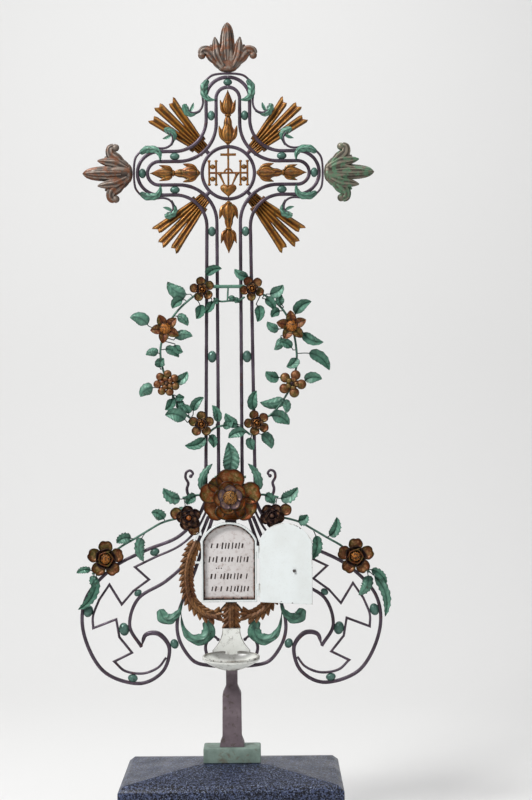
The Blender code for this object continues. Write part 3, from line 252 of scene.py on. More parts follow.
def two_skins(across: int) -> tuple[Array, Array]:
    """Places from -1 to 1 across a top skin and back below it, and 1 for those that are below."""
    v = np.concatenate([np.linspace(-1, 1, across), np.linspace(1, -1, across)[1:-1]])
    return v, np.concatenate([np.zeros(across), np.ones(across - 2)])


def volume(points: Array, quads: Array, tris: Array) -> float:
    """Signed volume of a closed surface: the sum of its corner determinants over six."""
    both = np.concatenate([quads[:, [0, 1, 2]], quads[:, [0, 2, 3]], tris])
    a, b, c = (points[both[:, k]] for k in range(3))
    return float(np.einsum("ij,ij->i", a, np.cross(b, c)).sum() / 6)


def loft(rings: Array, tone: Optional[Array] = None, closed: bool = False,
         start: Optional[Array] = None, end: Optional[Array] = None) -> Surface:
    """Join closed rings into a tube, with fans over both ends.

    Args:
        rings: vertices (n, m, 3), ring by ring.
        tone: relief at each ring vertex (n, m), or None for a plain middle tone.
        closed: whether the last ring joins the first one, without fans.
        start: the point of the first fan, or None for the first ring's middle.
        end: the point of the last fan, or None for the last ring's middle.

    Returns:
        The closed surface, faces outward.
    """
    n, m, _ = rings.shape
    grid = np.arange(n * m).reshape(n, m)
    low = grid if closed else grid[:-1]
    high = np.roll(grid, -1, axis=0) if closed else grid[1:]
    quads = np.stack([low, np.roll(low, -1, axis=1), np.roll(high, -1, axis=1), high], axis=-1).reshape(-1, 4)
    points = rings.reshape(-1, 3)
    relief = np.full(n * m, 0.5) if tone is None else np.asarray(tone, float).reshape(-1)
    if closed:
        tris = np.zeros((0, 3), int)
    else:
        first = rings[0].mean(0) if start is None else np.asarray(start, float)
        last = rings[-1].mean(0) if end is None else np.asarray(end, float)
        points = np.concatenate([points, [first, last]])
        relief = np.concatenate([relief, [relief[:m].mean(), relief[-m:].mean()]])
        a, b = grid[0], grid[-1]
        tris = np.concatenate([
            np.stack([np.roll(a, -1), a, np.full(m, n * m)], axis=-1),
            np.stack([b, np.roll(b, -1), np.full(m, n * m + 1)], axis=-1),
        ])
    if volume(points, quads, tris) < 0:
        quads = quads[:, ::-1].copy()
        tris = tris[:, ::-1].copy()
    return Surface(points, quads, tris, relief, np.zeros(len(points)))


def unit_ring(count: int, power: float = 1.0, flutes: int = 0, cut: float = 0.0) -> Array:
    """A section one unit wide and deep.

    Args:
        count: vertices round it.
        power: 1 gives a circle, less gives a box with rounder or sharper corners.
        flutes: grooves round it.
        cut: how deep the grooves are, as a share of the radius.

    Returns:
        Vertices (count, 2).
    """
    turn = circle(count)
    c, s = np.cos(turn), np.sin(turn)
    ring = np.stack([np.sign(c) * np.abs(c) ** power, np.sign(s) * np.abs(s) ** power], axis=1) / 2
    if flutes:
        ring = ring * (1.0 - cut * (0.5 - 0.5 * np.cos(flutes * turn)))[:, None]
    return ring


ROUND = unit_ring(14)
FLAT_BAR = unit_ring(20, 0.72)
FLUTED = unit_ring(54, 0.9, 7, 0.16)


def normals(path: Array, closed: bool = False) -> Array:
    """Mitred normals of a flat path (n, 2): unit normals of its stretches, averaged and lengthened."""
    if closed:
        ahead = np.roll(path, -1, axis=0) - path
        ahead /= np.linalg.norm(ahead, axis=1, keepdims=True)
        behind = np.roll(ahead, 1, axis=0)
    else:
        step = np.diff(path, axis=0)
        step /= np.maximum(np.linalg.norm(step, axis=1, keepdims=True), 1e-9)
        ahead = np.concatenate([step, step[-1:]])
        behind = np.concatenate([step[:1], step])
    flat = np.stack([-(ahead + behind)[:, 1], (ahead + behind)[:, 0]], axis=1)
    flat /= np.maximum(np.linalg.norm(flat, axis=1, keepdims=True), 1e-9)
    side = np.stack([-ahead[:, 1], ahead[:, 0]], axis=1)
    return flat / np.clip((flat * side).sum(1, keepdims=True), 0.5, 1.0)


def sweep(path: Array, section: Array, width: Amount, depth: Amount, h: Amount = 0.0,
          closed: bool = False) -> Surface:
    """Carry a section along a flat path.

    Args:
        path: points (n, 2) in the drawing.
        section: unit section (m, 2), across and towards the viewer.
        width: full width, one value or one for each point.
        depth: full depth, one value or one for each point.
        h: height of the middle, one value or one for each point.
        closed: whether the path is a loop.

    Returns:
        The swept surface; its tone falls from front to sides, and into the flutes of a fluted one, for a painted
        highlight on its front and painted shade on its sides and in its flutes.
    """
    n = len(path)
    width = np.broadcast_to(np.asarray(width, float), n)
    depth = np.broadcast_to(np.asarray(depth, float), n)
    h = np.broadcast_to(np.asarray(h, float), n)
    side = normals(path, closed)
    flat = path[:, None, :] + side[:, None, :] * (width[:, None] * section[None, :, 0])[:, :, None]
    high = h[:, None] + depth[:, None] * section[None, :, 1]
    size = np.linalg.norm(section, axis=1)
    # Painted highlight on the front, painted shade on the sides and back, and in the flutes of a fluted section.
    front = np.clip(0.35 + 0.8 * section[:, 1], 0.0, 1.0)
    tone = front * (size - size.min()) / np.ptp(size) * 1.4 if len(section) == len(FLUTED) else front
    return loft(np.concatenate([flat, high[:, :, None]], axis=2), np.broadcast_to(tone, (n, len(size))), closed)


def smooth(points: Points, per: int = 10) -> Array:
    """A Catmull-Rom curve through drawn points given in millimetres."""
    known = np.asarray(points, float) * MM
    known = np.vstack([2 * known[0] - known[1], known, 2 * known[-1] - known[-2]])
    a, b, c, d = (known[k:len(known) - 3 + k, None, :] for k in range(4))
    t = (np.arange(per) / per)[None, :, None]
    curve = 0.5 * (2 * b + (c - a) * t + (2 * a - 5 * b + 4 * c - d) * t ** 2 + (3 * b - a - 3 * c + d) * t ** 3)
    return np.vstack([curve.reshape(-1, known.shape[1]), known[-2]])


def straight(points: Points, step: float = 4.0) -> Array:
    """A polyline through points in millimetres, with a vertex about every `step` millimetres."""
    known = np.asarray(points, float)
    lengths = run_along(known)
    even = np.linspace(0.0, lengths[-1], max(2, round(lengths[-1] / step)))
    at = np.unique(np.concatenate([even, lengths]).round(4))
    keep = np.concatenate([[True], np.diff(at) > step * 0.2])
    return at_run(known, lengths, at[keep]) * MM


def rounded(corners: Sequence[tuple[float, float, float]]) -> Array:
    """Points along a polyline of (x, y, radius) in metres whose corners are arcs."""
    points = [np.array(corners[0][:2])]
    for before, corner, after in zip(corners, corners[1:], corners[2:]):
        here = np.array(corner[:2])
        back = np.array(before[:2]) - here
        ahead = np.array(after[:2]) - here
        back /= np.linalg.norm(back)
        ahead /= np.linalg.norm(ahead)
        if corner[2] == 0:
            points.append(here)
            continue
        half = math.acos(float(np.clip(back @ ahead, -1, 1))) / 2
        split = (back + ahead) / np.linalg.norm(back + ahead)
        centre = here + split * corner[2] / math.sin(half)
        first = here + back * corner[2] / math.tan(half) - centre
        last = here + ahead * corner[2] / math.tan(half) - centre
        swing = math.atan2(first[0] * last[1] - first[1] * last[0], first @ last)
        angles = np.linspace(0.0, swing, max(2, round(abs(swing) / ARC_STEP)) + 1)
        c, s = np.cos(angles), np.sin(angles)
        points.extend(np.stack([first[0] * c - first[1] * s, first[0] * s + first[1] * c], axis=1) + centre)
    points.append(np.array(corners[-1][:2]))
    path = np.array(points)
    keep = np.concatenate([[True], np.linalg.norm(np.diff(path, axis=0), axis=1) > 1e-6])
    return straight(path[keep] / MM, 8.0)


def ball(x: float, y: float, h: float, across: float, along: float, deep: float, turn: float = 0.0) -> Surface:
    """A squashed ball; `across` is its half width before it is turned in the drawing."""
    polar = np.linspace(0.0, math.pi, 16)[1:-1]
    ring = unit_ring(20) * 2
    flat = np.stack([np.outer(np.sin(polar), ring[:, 0]) * across,
                     np.broadcast_to(-np.cos(polar)[:, None] * along, (14, 20)),
                     np.outer(np.sin(polar), ring[:, 1]) * deep], axis=2)
    # Painted light: lighter tone at the ball's front, darker on its sides and back.
    surface = loft(flat, 0.42 + 0.4 * flat[:, :, 2] / deep, False, (0.0, -along, 0.0), (0.0, along, 0.0))
    return surface.turned(turn).moved(x, y, h)


class Outline(Enum):
    """The plan of a blade: its power at the root, its power at the tip and its greatest value."""

    POINTED = (0.75, 0.95, 0.316)  # widest near its middle, with a long tip
    BROAD = (0.42, 0.80, 0.456)  # widest below its middle, with a short tip
    ROUND = (0.62, 0.36, 0.515)  # a petal with a round end
    CLUB = (1.7, 0.45, 0.332)  # a thin stem that swells to a round end


def half_width(outline: Outline, t: Array) -> Array:
    """Share of the half width at each share t of the length: t ** root * (1 - t) ** tip / greatest."""
    root, tip, greatest = outline.value
    return t ** root * (1 - t) ** tip / greatest


@dataclass(frozen=True)
class Blade:
    """A thin leaf or petal: a top skin over a slightly lower bottom skin.

    The top's height above its spine is fold * |v| ** 1.4 + rib at the middle + ripples of the side
    veins, where v runs from -1 to 1 across the blade; its width follows the outline and is waved
    by the teeth.

    Attributes:
        width: full width.
        outline: its plan.
        thick: thickness in the middle.
        fold: how far the edges rise, as a share of the half width; negative bends them down.
        teeth: teeth or lobes along each edge.
        tooth: how deep the teeth are cut, as a share of the half width.
        veins: side veins on each half.
        vein: depth of the veins.
        rib: height of the middle rib; negative is a groove.
    """

    width: float
    outline: Outline = Outline.POINTED
    thick: float = 0.0016
    fold: float = 0.28
    teeth: int = 0
    tooth: float = 0.0
    veins: int = 5
    vein: float = 0.00035
    rib: float = -0.0007

    def along(self, spine: Array, h: Amount, stalk: float, stations: int = 26, across: int = 11) -> Surface:
        """Lay the blade on a spine.

        Args:
            spine: points (n, 2) from the root to the tip.
            h: height of the spine, one value or one for each of its points.
            stalk: share of the spine that is a bare stalk.
            stations: rings along it.
            across: vertices across its top.

        Returns:
            The blade's surface.
        """
        lengths = run_along(spine)
        t = np.linspace(0.0, 1.0, stations + 2)[1:-1]
        t = t + 0.06 * np.sin(math.tau * t) / math.tau
        at = t * lengths[-1]
        rise = np.broadcast_to(np.asarray(h, float), len(spine))
        path = at_run(spine, lengths, at)
        height = np.interp(at, lengths, rise)
        own = np.clip((t - stalk) / (1 - stalk), 0.0, 1.0)
        half = self.width / 2 * half_width(self.outline, own)
        if self.teeth:
            wave = (own * self.teeth) % 1.0
            half = half * (1 - self.tooth * (1 - np.abs(2 * wave - 1) ** 1.5) * np.minimum(1, own * 6))
        half = np.maximum(half, STEM_HALF)
        v, below = two_skins(across)
        side = normals(path)
        flat = path[:, None, :] + side[:, None, :] * (half[:, None] * v[None, :])[:, :, None]
        cover = np.abs(v)
        phase = own[:, None] * self.veins + cover[None, :] * 0.9
        ripple = np.cos(math.tau * phase) * np.minimum(1, cover[None, :] * 3)
        ripple = ripple * np.minimum(1, own * 5)[:, None]
        middle = np.exp(-(v / RIB_SPREAD) ** 2)
        leafy = np.clip(half / (self.width * 0.2), 0, 1)[:, None]
        top = (self.fold * cover[None, :] ** 1.4 * half[:, None]
               + leafy * (self.rib * middle[None, :] + self.vein * ripple))
        skin = self.thick * np.sqrt(np.clip(1 - v ** 2, 0, 1)) * below
        stem = STEM_ROUND * (1 - leafy) * np.sqrt(np.clip(1 - v ** 2, 0, 1)) * (1 - 2 * below)
        high = height[:, None] + top - skin[None, :] + stem
        # Painted shade on the rims, the underside, the middle rib and towards the root; the vein ripples add painted
        # highlight and shade.
        rim = np.clip((cover[None, :] - RIM_START) / (1 - RIM_START), 0, 1)
        root = 0.30 + 0.70 * np.minimum(1, own * 2.6)[:, None]
        tone = (0.70 + 0.2 * ripple - 0.5 * middle[None, :] * leafy - 0.25 * below[None, :] - 0.5 * rim) * root
        rings = np.concatenate([flat, high[:, :, None]], axis=2)
        first = (*spine[0], float(rise[0]))
        last = (*spine[-1], float(rise[-1]))
        made = loft(rings, tone, False, first, last)
        made.part[:-2] = np.repeat(1.0 - leafy[:, 0], len(v))
        return made


def bent(root: Array, tip: Array, lean: float) -> Array:
    """A quadratic curve from root to tip; its middle leans left by half of `lean` times its length."""
    along = tip - root
    middle = (root + tip) / 2 + np.array([-along[1], along[0]]) * lean
    t = shares(BEND_POINTS)[:, None]
    return (1 - t) ** 2 * root + 2 * t * (1 - t) * middle + t ** 2 * tip


def nearest(path: Array, place: Array) -> Array:
    """The nearest point of a polyline to a place, by clamped projection on every stretch."""
    a, b = path[:-1], path[1:]
    along = b - a
    share = np.clip(((place - a) * along).sum(1) / np.maximum((along ** 2).sum(1), 1e-12), 0, 1)
    found = a + along * share[:, None]
    return found[np.argmin(((found - place) ** 2).sum(1))]


def spacer(first: Array, second: Array, near: tuple[float, float], fat: float = 1.12, long: float = 1.35,
           reach: float = BAR_WIDTH / 2) -> Surface:
    """A ball gripped between two bars.

    Args:
        first: path of one bar.
        second: path of the other bar.
        near: a place close to it, in millimetres.
        fat: its width as a share of the clear gap.
        long: its length as a share of its width.
        reach: half width of the bars.

    Returns:
        The ball's surface.
    """
    place = np.array(near, float) * MM
    for _ in range(6):
        a, b = nearest(first, place), nearest(second, place)
        place = (a + b) / 2
    span = b - a
    gap = float(np.linalg.norm(span)) - 2 * reach
    across = gap / 2 * fat
    return ball(place[0], place[1], 0.0, across, across * long, across * 0.95, math.atan2(span[1], span[0]))


def outline_ring(half: float, bottom: float, height: float, rise: float, middle: float) -> Array:
    """Outline (n, 2) of a tablet with a segmental arch on top, anticlockwise."""
    radius = (half ** 2 + rise ** 2) / (2 * rise)
    centre = bottom + height - radius
    start = math.atan2(bottom + height - rise - centre, half)
    angle = np.linspace(start, math.pi - start, 41)
    arch = np.stack([middle + radius * np.cos(angle), centre + radius * np.sin(angle)], axis=1)
    low, high = bottom, bottom + height - rise
    t = shares(17)[:-1]
    foot = np.stack([middle - half + 2 * half * t, np.full(16, low)], axis=1)
    right = np.stack([np.full(16, middle + half), low + (high - low) * t], axis=1)
    left = np.stack([np.full(16, middle - half), high + (low - high) * t], axis=1)
    return np.vstack([foot, right, arch[:-1], left])


def slab(outline: Array, low: float, high: float, ease: float = 0.0006) -> Surface:
    """A flat plate between two heights, its edges eased by a small quarter round."""
    middle = outline.mean(0)
    size = np.abs(outline - middle).max()
    inner = middle + (outline - middle) * (1 - ease / size)
    core = middle + (outline - middle) * 0.90
    levels = ((core, low), (inner, low), (outline, low + ease), (outline, high - ease), (inner, high), (core, high))
    return loft(stacked(levels), by_ring([1.0, 0.0, 0.0, 0.0, 0.0, 1.0], len(outline)))


def revolved(profile: Points, stretch: float, count: int) -> Surface:
    """Turn a profile of (radius, height), whose ends lie on the axis, about that upright axis."""
    known = np.asarray(profile, float)
    turn = circle(count)
    body = known[1:-1]
    rings = np.stack([np.outer(body[:, 0], np.cos(turn)),
                      np.broadcast_to(body[:, 1:2], (len(body), count)),
                      np.outer(body[:, 0], np.sin(turn)) * stretch], axis=2)
    return loft(rings, None, False, (0.0, known[0, 1], 0.0), (0.0, known[-1, 1], 0.0))


def rod(start: Array, end: Array, radius: float, count: int = 16) -> Surface:
    """A round rod between two points (x, y, h), its ends eased."""
    start, end = np.asarray(start, float), np.asarray(end, float)
    axis = end - start
    length = np.linalg.norm(axis)
    axis = axis / length
    helper = np.array([0.0, 0.0, 1.0]) if abs(axis[2]) < 0.9 else np.array([1.0, 0.0, 0.0])
    u = np.cross(axis, helper)
    u /= np.linalg.norm(u)
    w = np.cross(axis, u)
    turn = circle(count)
    hoop = np.cos(turn)[:, None] * u + np.sin(turn)[:, None] * w
    ease = min(0.2 * radius, 0.2 * length)
    stations = ((0.0, 1 - ease / radius), (ease, 1.0), (length - ease, 1.0), (length, 1 - ease / radius))
    rings = np.stack([start + axis * a + hoop * radius * r for a, r in stations])
    return loft(rings)


# ---------------------------------------------------------------- finishes
class Graph:
    """Shorthand for building a material's nodes."""

    def __init__(self, name: str) -> None:
        """Start an empty material with a Principled shader.

        Args:
            name: the material's name.
        """
        self.material = bpy.data.materials.new(name)
        self.material.use_nodes = True
        self.tree = self.material.node_tree
        self.shader = self.tree.nodes["Principled BSDF"]
        coordinates = self.tree.nodes.new("ShaderNodeTexCoord")
        self.place = coordinates.outputs["Object"]

    def feed(self, node: bpy.types.Node, socket: Union[str, int], value: Value) -> None:
        """Set or link an input of a node."""
        target = node.inputs[socket]
        if isinstance(value, bpy.types.NodeSocket):
            self.tree.links.new(value, target)
        else:
            target.default_value = (*value, 1.0) if isinstance(value, tuple) else value

    def put(self, socket: str, value: Value) -> None:
        """Set or link one of the shader's inputs."""
        self.feed(self.shader, socket, value)

    def add(self, kind: str, output: Union[str, int], inputs: dict, **settings: str) -> bpy.types.NodeSocket:
        """Add a node.

        Args:
            kind: its type, without the shader prefix.
            output: name or number of the output to give back.
            inputs: a value or a socket for each input.
            **settings: the node's own properties.

        Returns:
            The output.
        """
        node = self.tree.nodes.new(f"ShaderNode{kind}")
        for key, value in settings.items():
            setattr(node, key, value)
        for socket, value in inputs.items():
            self.feed(node, socket, value)
        return node.outputs[output]

    def noise(self, scale: float, detail: float = 4.0, rough: float = 0.55) -> bpy.types.NodeSocket:
        """Fractal noise on object coordinates, from 0 to 1."""
        return self.add("TexNoise", "Fac", {"Vector": self.place, "Scale": scale, "Detail": detail,
                                            "Roughness": rough})

    def cells(self, scale: float) -> bpy.types.NodeSocket:
        """Distance to the nearest point of a scatter of cells."""
        return self.add("TexVoronoi", "Distance", {"Vector": self.place, "Scale": scale, "Randomness": 1.0})

    def mask(self, name: str) -> bpy.types.NodeSocket:
        """One of the piece's own masks."""
        return self.add("Attribute", "Fac", {}, attribute_name=name)

    def spread(self, value: Value, low: float, high: float, to_low: float = 0.0,
               to_high: float = 1.0) -> bpy.types.NodeSocket:
        """Map a range of a value onto another one, clamped."""
        return self.add("MapRange", "Result", {"Value": value, "From Min": low, "From Max": high,
                                               "To Min": to_low, "To Max": to_high})

    def times(self, a: Value, b: Value) -> bpy.types.NodeSocket:
        """Multiply two values."""
        return self.add("Math", 0, {0: a, 1: b}, operation="MULTIPLY")

    def plus(self, a: Value, b: Value) -> bpy.types.NodeSocket:
        """Add two values."""
        return self.add("Math", 0, {0: a, 1: b}, operation="ADD")

    def mix(self, share: Value, a: Value, b: Value) -> bpy.types.NodeSocket:
        """Mix two colours."""
        return self.add("Mix", 2, {0: share, 6: a, 7: b}, data_type="RGBA")

    def relief(self, height: Value, strength: float, distance: float) -> None:
        """Drive the shader's normal by a height."""
        self.put("Normal", self.add("Bump", "Normal", {"Strength": strength, "Distance": distance,
                                                       "Height": height}))


def srgb(red: int, green: int, blue: int) -> Colour:
    """A display colour as linear light: each channel to the power 2.2."""
    return tuple((channel / 255) ** DISPLAY_POWER for channel in (red, green, blue))


@dataclass(frozen=True)
class Finish:
    """What a piece is made to look like.

    Attributes:
        name: the material's name.
    """

    name: str

    def build(self) -> bpy.types.Material:
        """Make the material.

        Returns:
            The material.
        """
        g = Graph(self.name)
        self.paint(g)
        return g.material

    def paint(self, g: Graph) -> None:
        """Fill the shader; each kind of finish does it in its own way."""
        raise NotImplementedError


@dataclass(frozen=True)
class Weathered(Finish):
    """Old paint on iron: a base that drifts in tone, painted highlight on ridges and bar fronts, painted shade in
    hollows, with spots.

    Attributes:
        base: main colour.
        light: the lighter colour of the paint's drift and fine specks, and of the painted highlight on ridges.
        deep: the darker colour of the paint's drift and of stalks, and of the painted shade in hollows.
        spot: colour of the patches.
        spots: share of the surface under patches, about 0 to 1.
        grain: size of the drift, in noise cells a metre.
        metal: metallic share.
        rough: roughness.
        ridge: how strongly the relief mask paints shade and highlight on the piece.
    """

    base: Colour
    light: Colour
    deep: Colour
    spot: Colour
    spots: float = 0.3
    grain: float = 45.0
    metal: float = 0.2
    rough: float = 0.55
    ridge: float = 0.7

    def paint(self, g: Graph) -> None:
        """Base and light tones, then painted shade in hollows, painted highlight on ridges, patches and grain."""
        drift = g.spread(g.noise(self.grain, 5.0, 0.6), 0.32, 0.68)
        colour = g.mix(g.spread(g.noise(self.grain * 0.35), 0.3, 0.7, 0.0, 0.55), self.base, self.light)
        colour = g.mix(g.times(drift, 0.5), colour, self.deep)
        tone = g.mask("tone")
        # Painted shade: low tone (hollows, bar sides, leaf rims, undersides and roots) darkens to the deep colour.
        colour = g.mix(g.spread(tone, 0.55, 0.0, 0.0, self.ridge), colour, self.deep)
        # Painted highlight: high tone (bar fronts, ball fronts, vein and reed crowns) lightens to the light colour.
        colour = g.mix(g.spread(tone, 0.72, 1.0, 0.0, self.ridge * 0.7), colour, self.light)
        patch = g.spread(g.noise(self.grain * 1.7, 6.0, 0.65), 0.66 - 0.25 * self.spots, 0.72 - 0.2 * self.spots)
        colour = g.mix(g.times(patch, 0.8), colour, self.spot)
        fine = g.noise(900.0, 3.0)
        colour = g.mix(g.spread(fine, 0.58, 0.8, 0.0, 0.2), colour, self.light)
        # The part mask darkens stalks, stems and the rays' collars; on the laurel's core string it is painted shade
        # between the leaves.
        colour = g.mix(g.spread(g.mask("part"), 0.3, 0.6, 0.0, 0.75), colour, self.deep)
        g.put("Base Color", colour)
        g.put("Metallic", self.metal)
        g.put("Roughness", g.spread(drift, 0.0, 1.0, self.rough - 0.12, self.rough + 0.15))
        bumps = g.plus(g.times(g.noise(260.0, 4.0), 0.7), g.times(fine, 0.3))
        g.relief(bumps, 0.55, 0.0006)


@dataclass(frozen=True)
class Parted(Finish):
    """A flower's finish: petals, whorl and middle each have a colour, chosen by the part mask.

    Attributes:
        petal: colour of the petals.
        whorl: colour of the inner ring.
        middle: colour of the button or seeds.
        deep: colour of the painted shade on petal backs, inside cups and between seeds, and of the dust.
        spot: colour of the patches.
    """

    petal: Colour
    whorl: Colour
    middle: Colour
    deep: Colour
    spot: Colour

    def paint(self, g: Graph) -> None:
        """Petals, whorl and middle, then painted shade, a patchy painted highlight that is partly wear, and dust."""
        part = g.mask("part")
        colour = g.mix(g.spread(g.noise(60.0, 6.0, 0.65), 0.46, 0.60), self.petal, self.spot)
        colour = g.mix(g.spread(part, 0.3, 0.45), colour, self.whorl)
        gold = g.mix(g.spread(g.noise(240.0, 4.0), 0.4, 0.65), self.middle, self.deep)
        colour = g.mix(g.spread(part, 0.7, 0.85), colour, gold)
        tone = g.mask("tone")
        # Painted shade: low tone on petal backs, inside cups and between seeds darkens to the deep colour.
        colour = g.mix(g.spread(tone, 0.5, 0.1, 0.0, 0.92), colour, self.deep)
        # Painted highlight, partly wear: noise patches on high tone (petal hollows, seed tops, ball fronts) lighten
        # to a pale gold.
        edge = g.mix(0.45, self.middle, (0.62, 0.45, 0.25))
        worn_and_highlight = g.spread(g.noise(110.0, 5.0, 0.7), 0.46, 0.62, 0.0, 0.75)
        colour = g.mix(g.times(g.spread(tone, 0.55, 0.95), worn_and_highlight), colour, edge)
        dust = g.spread(g.noise(500.0, 4.0), 0.55, 0.75, 0.0, 0.35)
        colour = g.mix(dust, colour, self.deep)
        g.put("Base Color", colour)
        g.put("Metallic", 0.45)
        g.put("Roughness", g.spread(g.noise(120.0), 0.3, 0.7, 0.34, 0.62))
        g.relief(g.noise(420.0, 4.0), 0.5, 0.0006)


@dataclass(frozen=True)
class Enamel(Finish):
    """White enamel: smooth, with brown stains that creep in from the edges and run downwards.

    Attributes:
        base: the enamel's colour.
        stain: colour of the stains.
        edge: colour of the bare edge; the part mask also lays it on the cover's knob, towards the bowl's back, and as
            painted shade at the foot of the case's inner wall.
        reach: how much of the surface the stains take, 0 to 1.
        rough: roughness.
    """

    base: Colour
    stain: Colour
    edge: Colour
    reach: float = 0.4
    rough: float = 0.28

    def paint(self, g: Graph) -> None:
        """White ground, mottle and creeping stains, then chips and specks, and the part mask's dark colour, painted
        shade in the case beside the plate.
        """
        edge = g.spread(g.mask("tone"), 1.0, 0.0)
        cloud = g.noise(32.0, 6.0, 0.6)
        colour = g.mix(g.spread(g.noise(14.0, 3.0), 0.35, 0.65, 0.0, 0.16), self.base, self.stain)
        mottle = g.spread(g.noise(85.0, 7.0, 0.75), 0.52, 0.74, 0.0, 0.8 * self.reach)
        colour = g.mix(mottle, colour, self.stain)
        rim = g.times(edge, 0.32 + 0.26 * self.reach)
        creep = g.spread(g.plus(cloud, rim), 0.86 - 0.2 * self.reach, 1.02)
        colour = g.mix(g.times(creep, 0.85), colour, self.stain)
        chip = g.spread(g.plus(g.noise(140.0, 4.0), g.times(edge, 0.28)),
                        0.90 - 0.15 * self.reach, 0.94 - 0.15 * self.reach)
        colour = g.mix(g.times(chip, edge), colour, self.edge)
        specks = g.spread(g.noise(620.0, 2.0), 0.68, 0.74, 0.0, 0.5)
        colour = g.mix(specks, colour, self.stain)
        # The part mask lays the edge colour on the knob and the bowl's back, and as painted shade on the case's inner
        # wall near the plate.
        colour = g.mix(g.spread(g.mask("part"), 0.3, 0.6, 0.0, 0.95), colour, self.edge)
        g.put("Base Color", colour)
        g.put("Metallic", 0.0)
        g.put("Roughness", g.spread(creep, 0.0, 1.0, self.rough, 0.7))
        g.relief(g.noise(55.0, 3.0), 0.25, 0.0006)


@dataclass(frozen=True)
class Granite(Finish):
    """Polished dark granite: black ground, blue-grey feldspar, pale flecks, a smooth clear face.

    Attributes:
        ground: colour of the dark ground.
        feldspar: colour of the larger grains.
        fleck: colour of the pale flecks.
    """

    ground: Colour
    feldspar: Colour
    fleck: Colour

    def paint(self, g: Graph) -> None:
        """Dark ground, feldspar and flecks under a thin veil."""
        grains = g.spread(g.cells(210.0), 0.30, 0.55)
        colour = g.mix(g.times(grains, g.spread(g.noise(190.0, 3.0), 0.42, 0.56)), self.ground, self.feldspar)
        flecks = g.spread(g.noise(300.0, 3.0, 0.7), 0.58, 0.64)
        colour = g.mix(g.times(flecks, 0.75), colour, self.fleck)
        veil = g.spread(g.noise(7.0, 3.0), 0.45, 0.75, 0.0, 0.10)
        colour = g.mix(veil, colour, self.feldspar)
        g.put("Base Color", colour)
        g.put("Roughness", g.spread(g.noise(24.0, 4.0), 0.3, 0.75, 0.30, 0.50))
        g.put("Specular IOR Level", 0.3)
        g.relief(g.noise(380.0, 2.0), 0.06, 0.0004)


BARS = Weathered("paint_bars", srgb(52, 39, 48), srgb(124, 110, 126), srgb(18, 11, 16), srgb(78, 44, 36), 0.3,
                 60.0, 0.4, 0.38, 0.75)
VERDIGRIS = Weathered("paint_green", srgb(76, 124, 104), srgb(126, 172, 150), srgb(16, 38, 36), srgb(56, 66, 52),
                      0.35, 65.0, 0.15, 0.45, 0.85)
GREEN_BEADS = Weathered("paint_beads", srgb(50, 84, 74), srgb(118, 160, 146), srgb(18, 34, 32), srgb(44, 50, 46),
                        0.3, 80.0, 0.2, 0.4, 0.6)
GILDING = Weathered("gilding_rust", srgb(118, 66, 26), srgb(198, 138, 58), srgb(34, 16, 14), srgb(70, 72, 40), 0.5,
                    70.0, 0.4, 0.42, 0.85)
FINIAL = Weathered("bronze_finial", srgb(88, 74, 64), srgb(164, 150, 138), srgb(22, 14, 12), srgb(108, 62, 32), 0.75,
                   38.0, 0.3, 0.45, 0.95)
FINIAL_GREEN = Weathered("bronze_finial_green", srgb(92, 84, 72), srgb(166, 156, 136), srgb(30, 26, 22),
                         srgb(84, 122, 94), 0.75, 40.0, 0.3, 0.45, 0.85)
LAUREL = Weathered("laurel_rust_paint", srgb(98, 54, 28), srgb(188, 138, 84), srgb(24, 10, 8), srgb(66, 44, 36), 0.4,
                   80.0, 0.25, 0.5, 0.85)
POST_PAINT = Weathered("paint_post", srgb(98, 84, 90), srgb(146, 132, 138), srgb(48, 38, 42), srgb(78, 68, 62), 0.4,
                       34.0, 0.15, 0.55, 0.4)
FOOT_PAINT = Weathered("paint_foot", srgb(118, 138, 128), srgb(158, 178, 166), srgb(62, 74, 68), srgb(104, 98, 84),
                       0.4, 30.0, 0.1, 0.6, 0.2)
BRONZE_GOLD = Parted("flower_gold", srgb(100, 54, 26), srgb(38, 20, 22), srgb(186, 112, 34), srgb(18, 8, 10),
                     srgb(88, 80, 34))
BRONZE_ROSE = Parted("flower_rose", srgb(128, 62, 18), srgb(94, 74, 78), srgb(166, 112, 48), srgb(20, 6, 8),
                     srgb(90, 74, 24))
BRONZE_DARK = Parted("flower_dark", srgb(50, 30, 36), srgb(40, 26, 32), srgb(184, 96, 34), srgb(12, 6, 10),
                     srgb(76, 54, 40))
WHITE = Enamel("enamel_white", srgb(224, 229, 228), srgb(160, 150, 134), srgb(52, 40, 36), 0.15)
BOWL_WHITE = Enamel("enamel_bowl", srgb(236, 237, 231), srgb(98, 88, 74), srgb(46, 40, 38), 1.0)
PLATE = Enamel("enamel_plate", srgb(216, 212, 210), srgb(112, 68, 44), srgb(24, 14, 12), 0.9, 0.4)
STROKES = Weathered("plate_strokes", srgb(40, 28, 28), srgb(72, 54, 48), srgb(20, 14, 14), srgb(84, 50, 34), 0.3,
                    120.0, 0.0, 0.6)
STONE = Granite("granite_polished", srgb(14, 11, 18), srgb(70, 78, 104), srgb(146, 158, 184))


def ship(surface: Surface, name: str, finish: Finish, nodes: Sequence[str],
         body: str = "cross") -> None:
    """Build a piece, hang it on its body and let it stand for CAD nodes.

    Args:
        surface: the piece's surface in the drawing.
        name: its name.
        finish: the finish to build or reuse.
        nodes: the CAD nodes that it stands for.
        body: the body that it moves with.
    """
    made = bpy.data.materials.get(finish.name) or finish.build()
    ob = surface.build(name, made)
    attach(ob, body)
    if nodes:
        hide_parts(*nodes)
    LOG.info("%s: %d vertices", name, len(surface.points))


def ship_pair(surface: Surface, name: str, finish: Finish, node: str) -> None:
    """Build a left piece and its twin on the right, each standing for its own node.

    Args:
        surface: the left piece.
        name: name without its side.
        finish: the finish of both.
        node: the node's name without its side, or an empty text where none is replaced.
    """
    for side, shape in (("left", surface), ("right", surface.mirrored())):
        ship(shape, f"{name}_{side}", finish, [f"{node}_{side}"] if node else [])


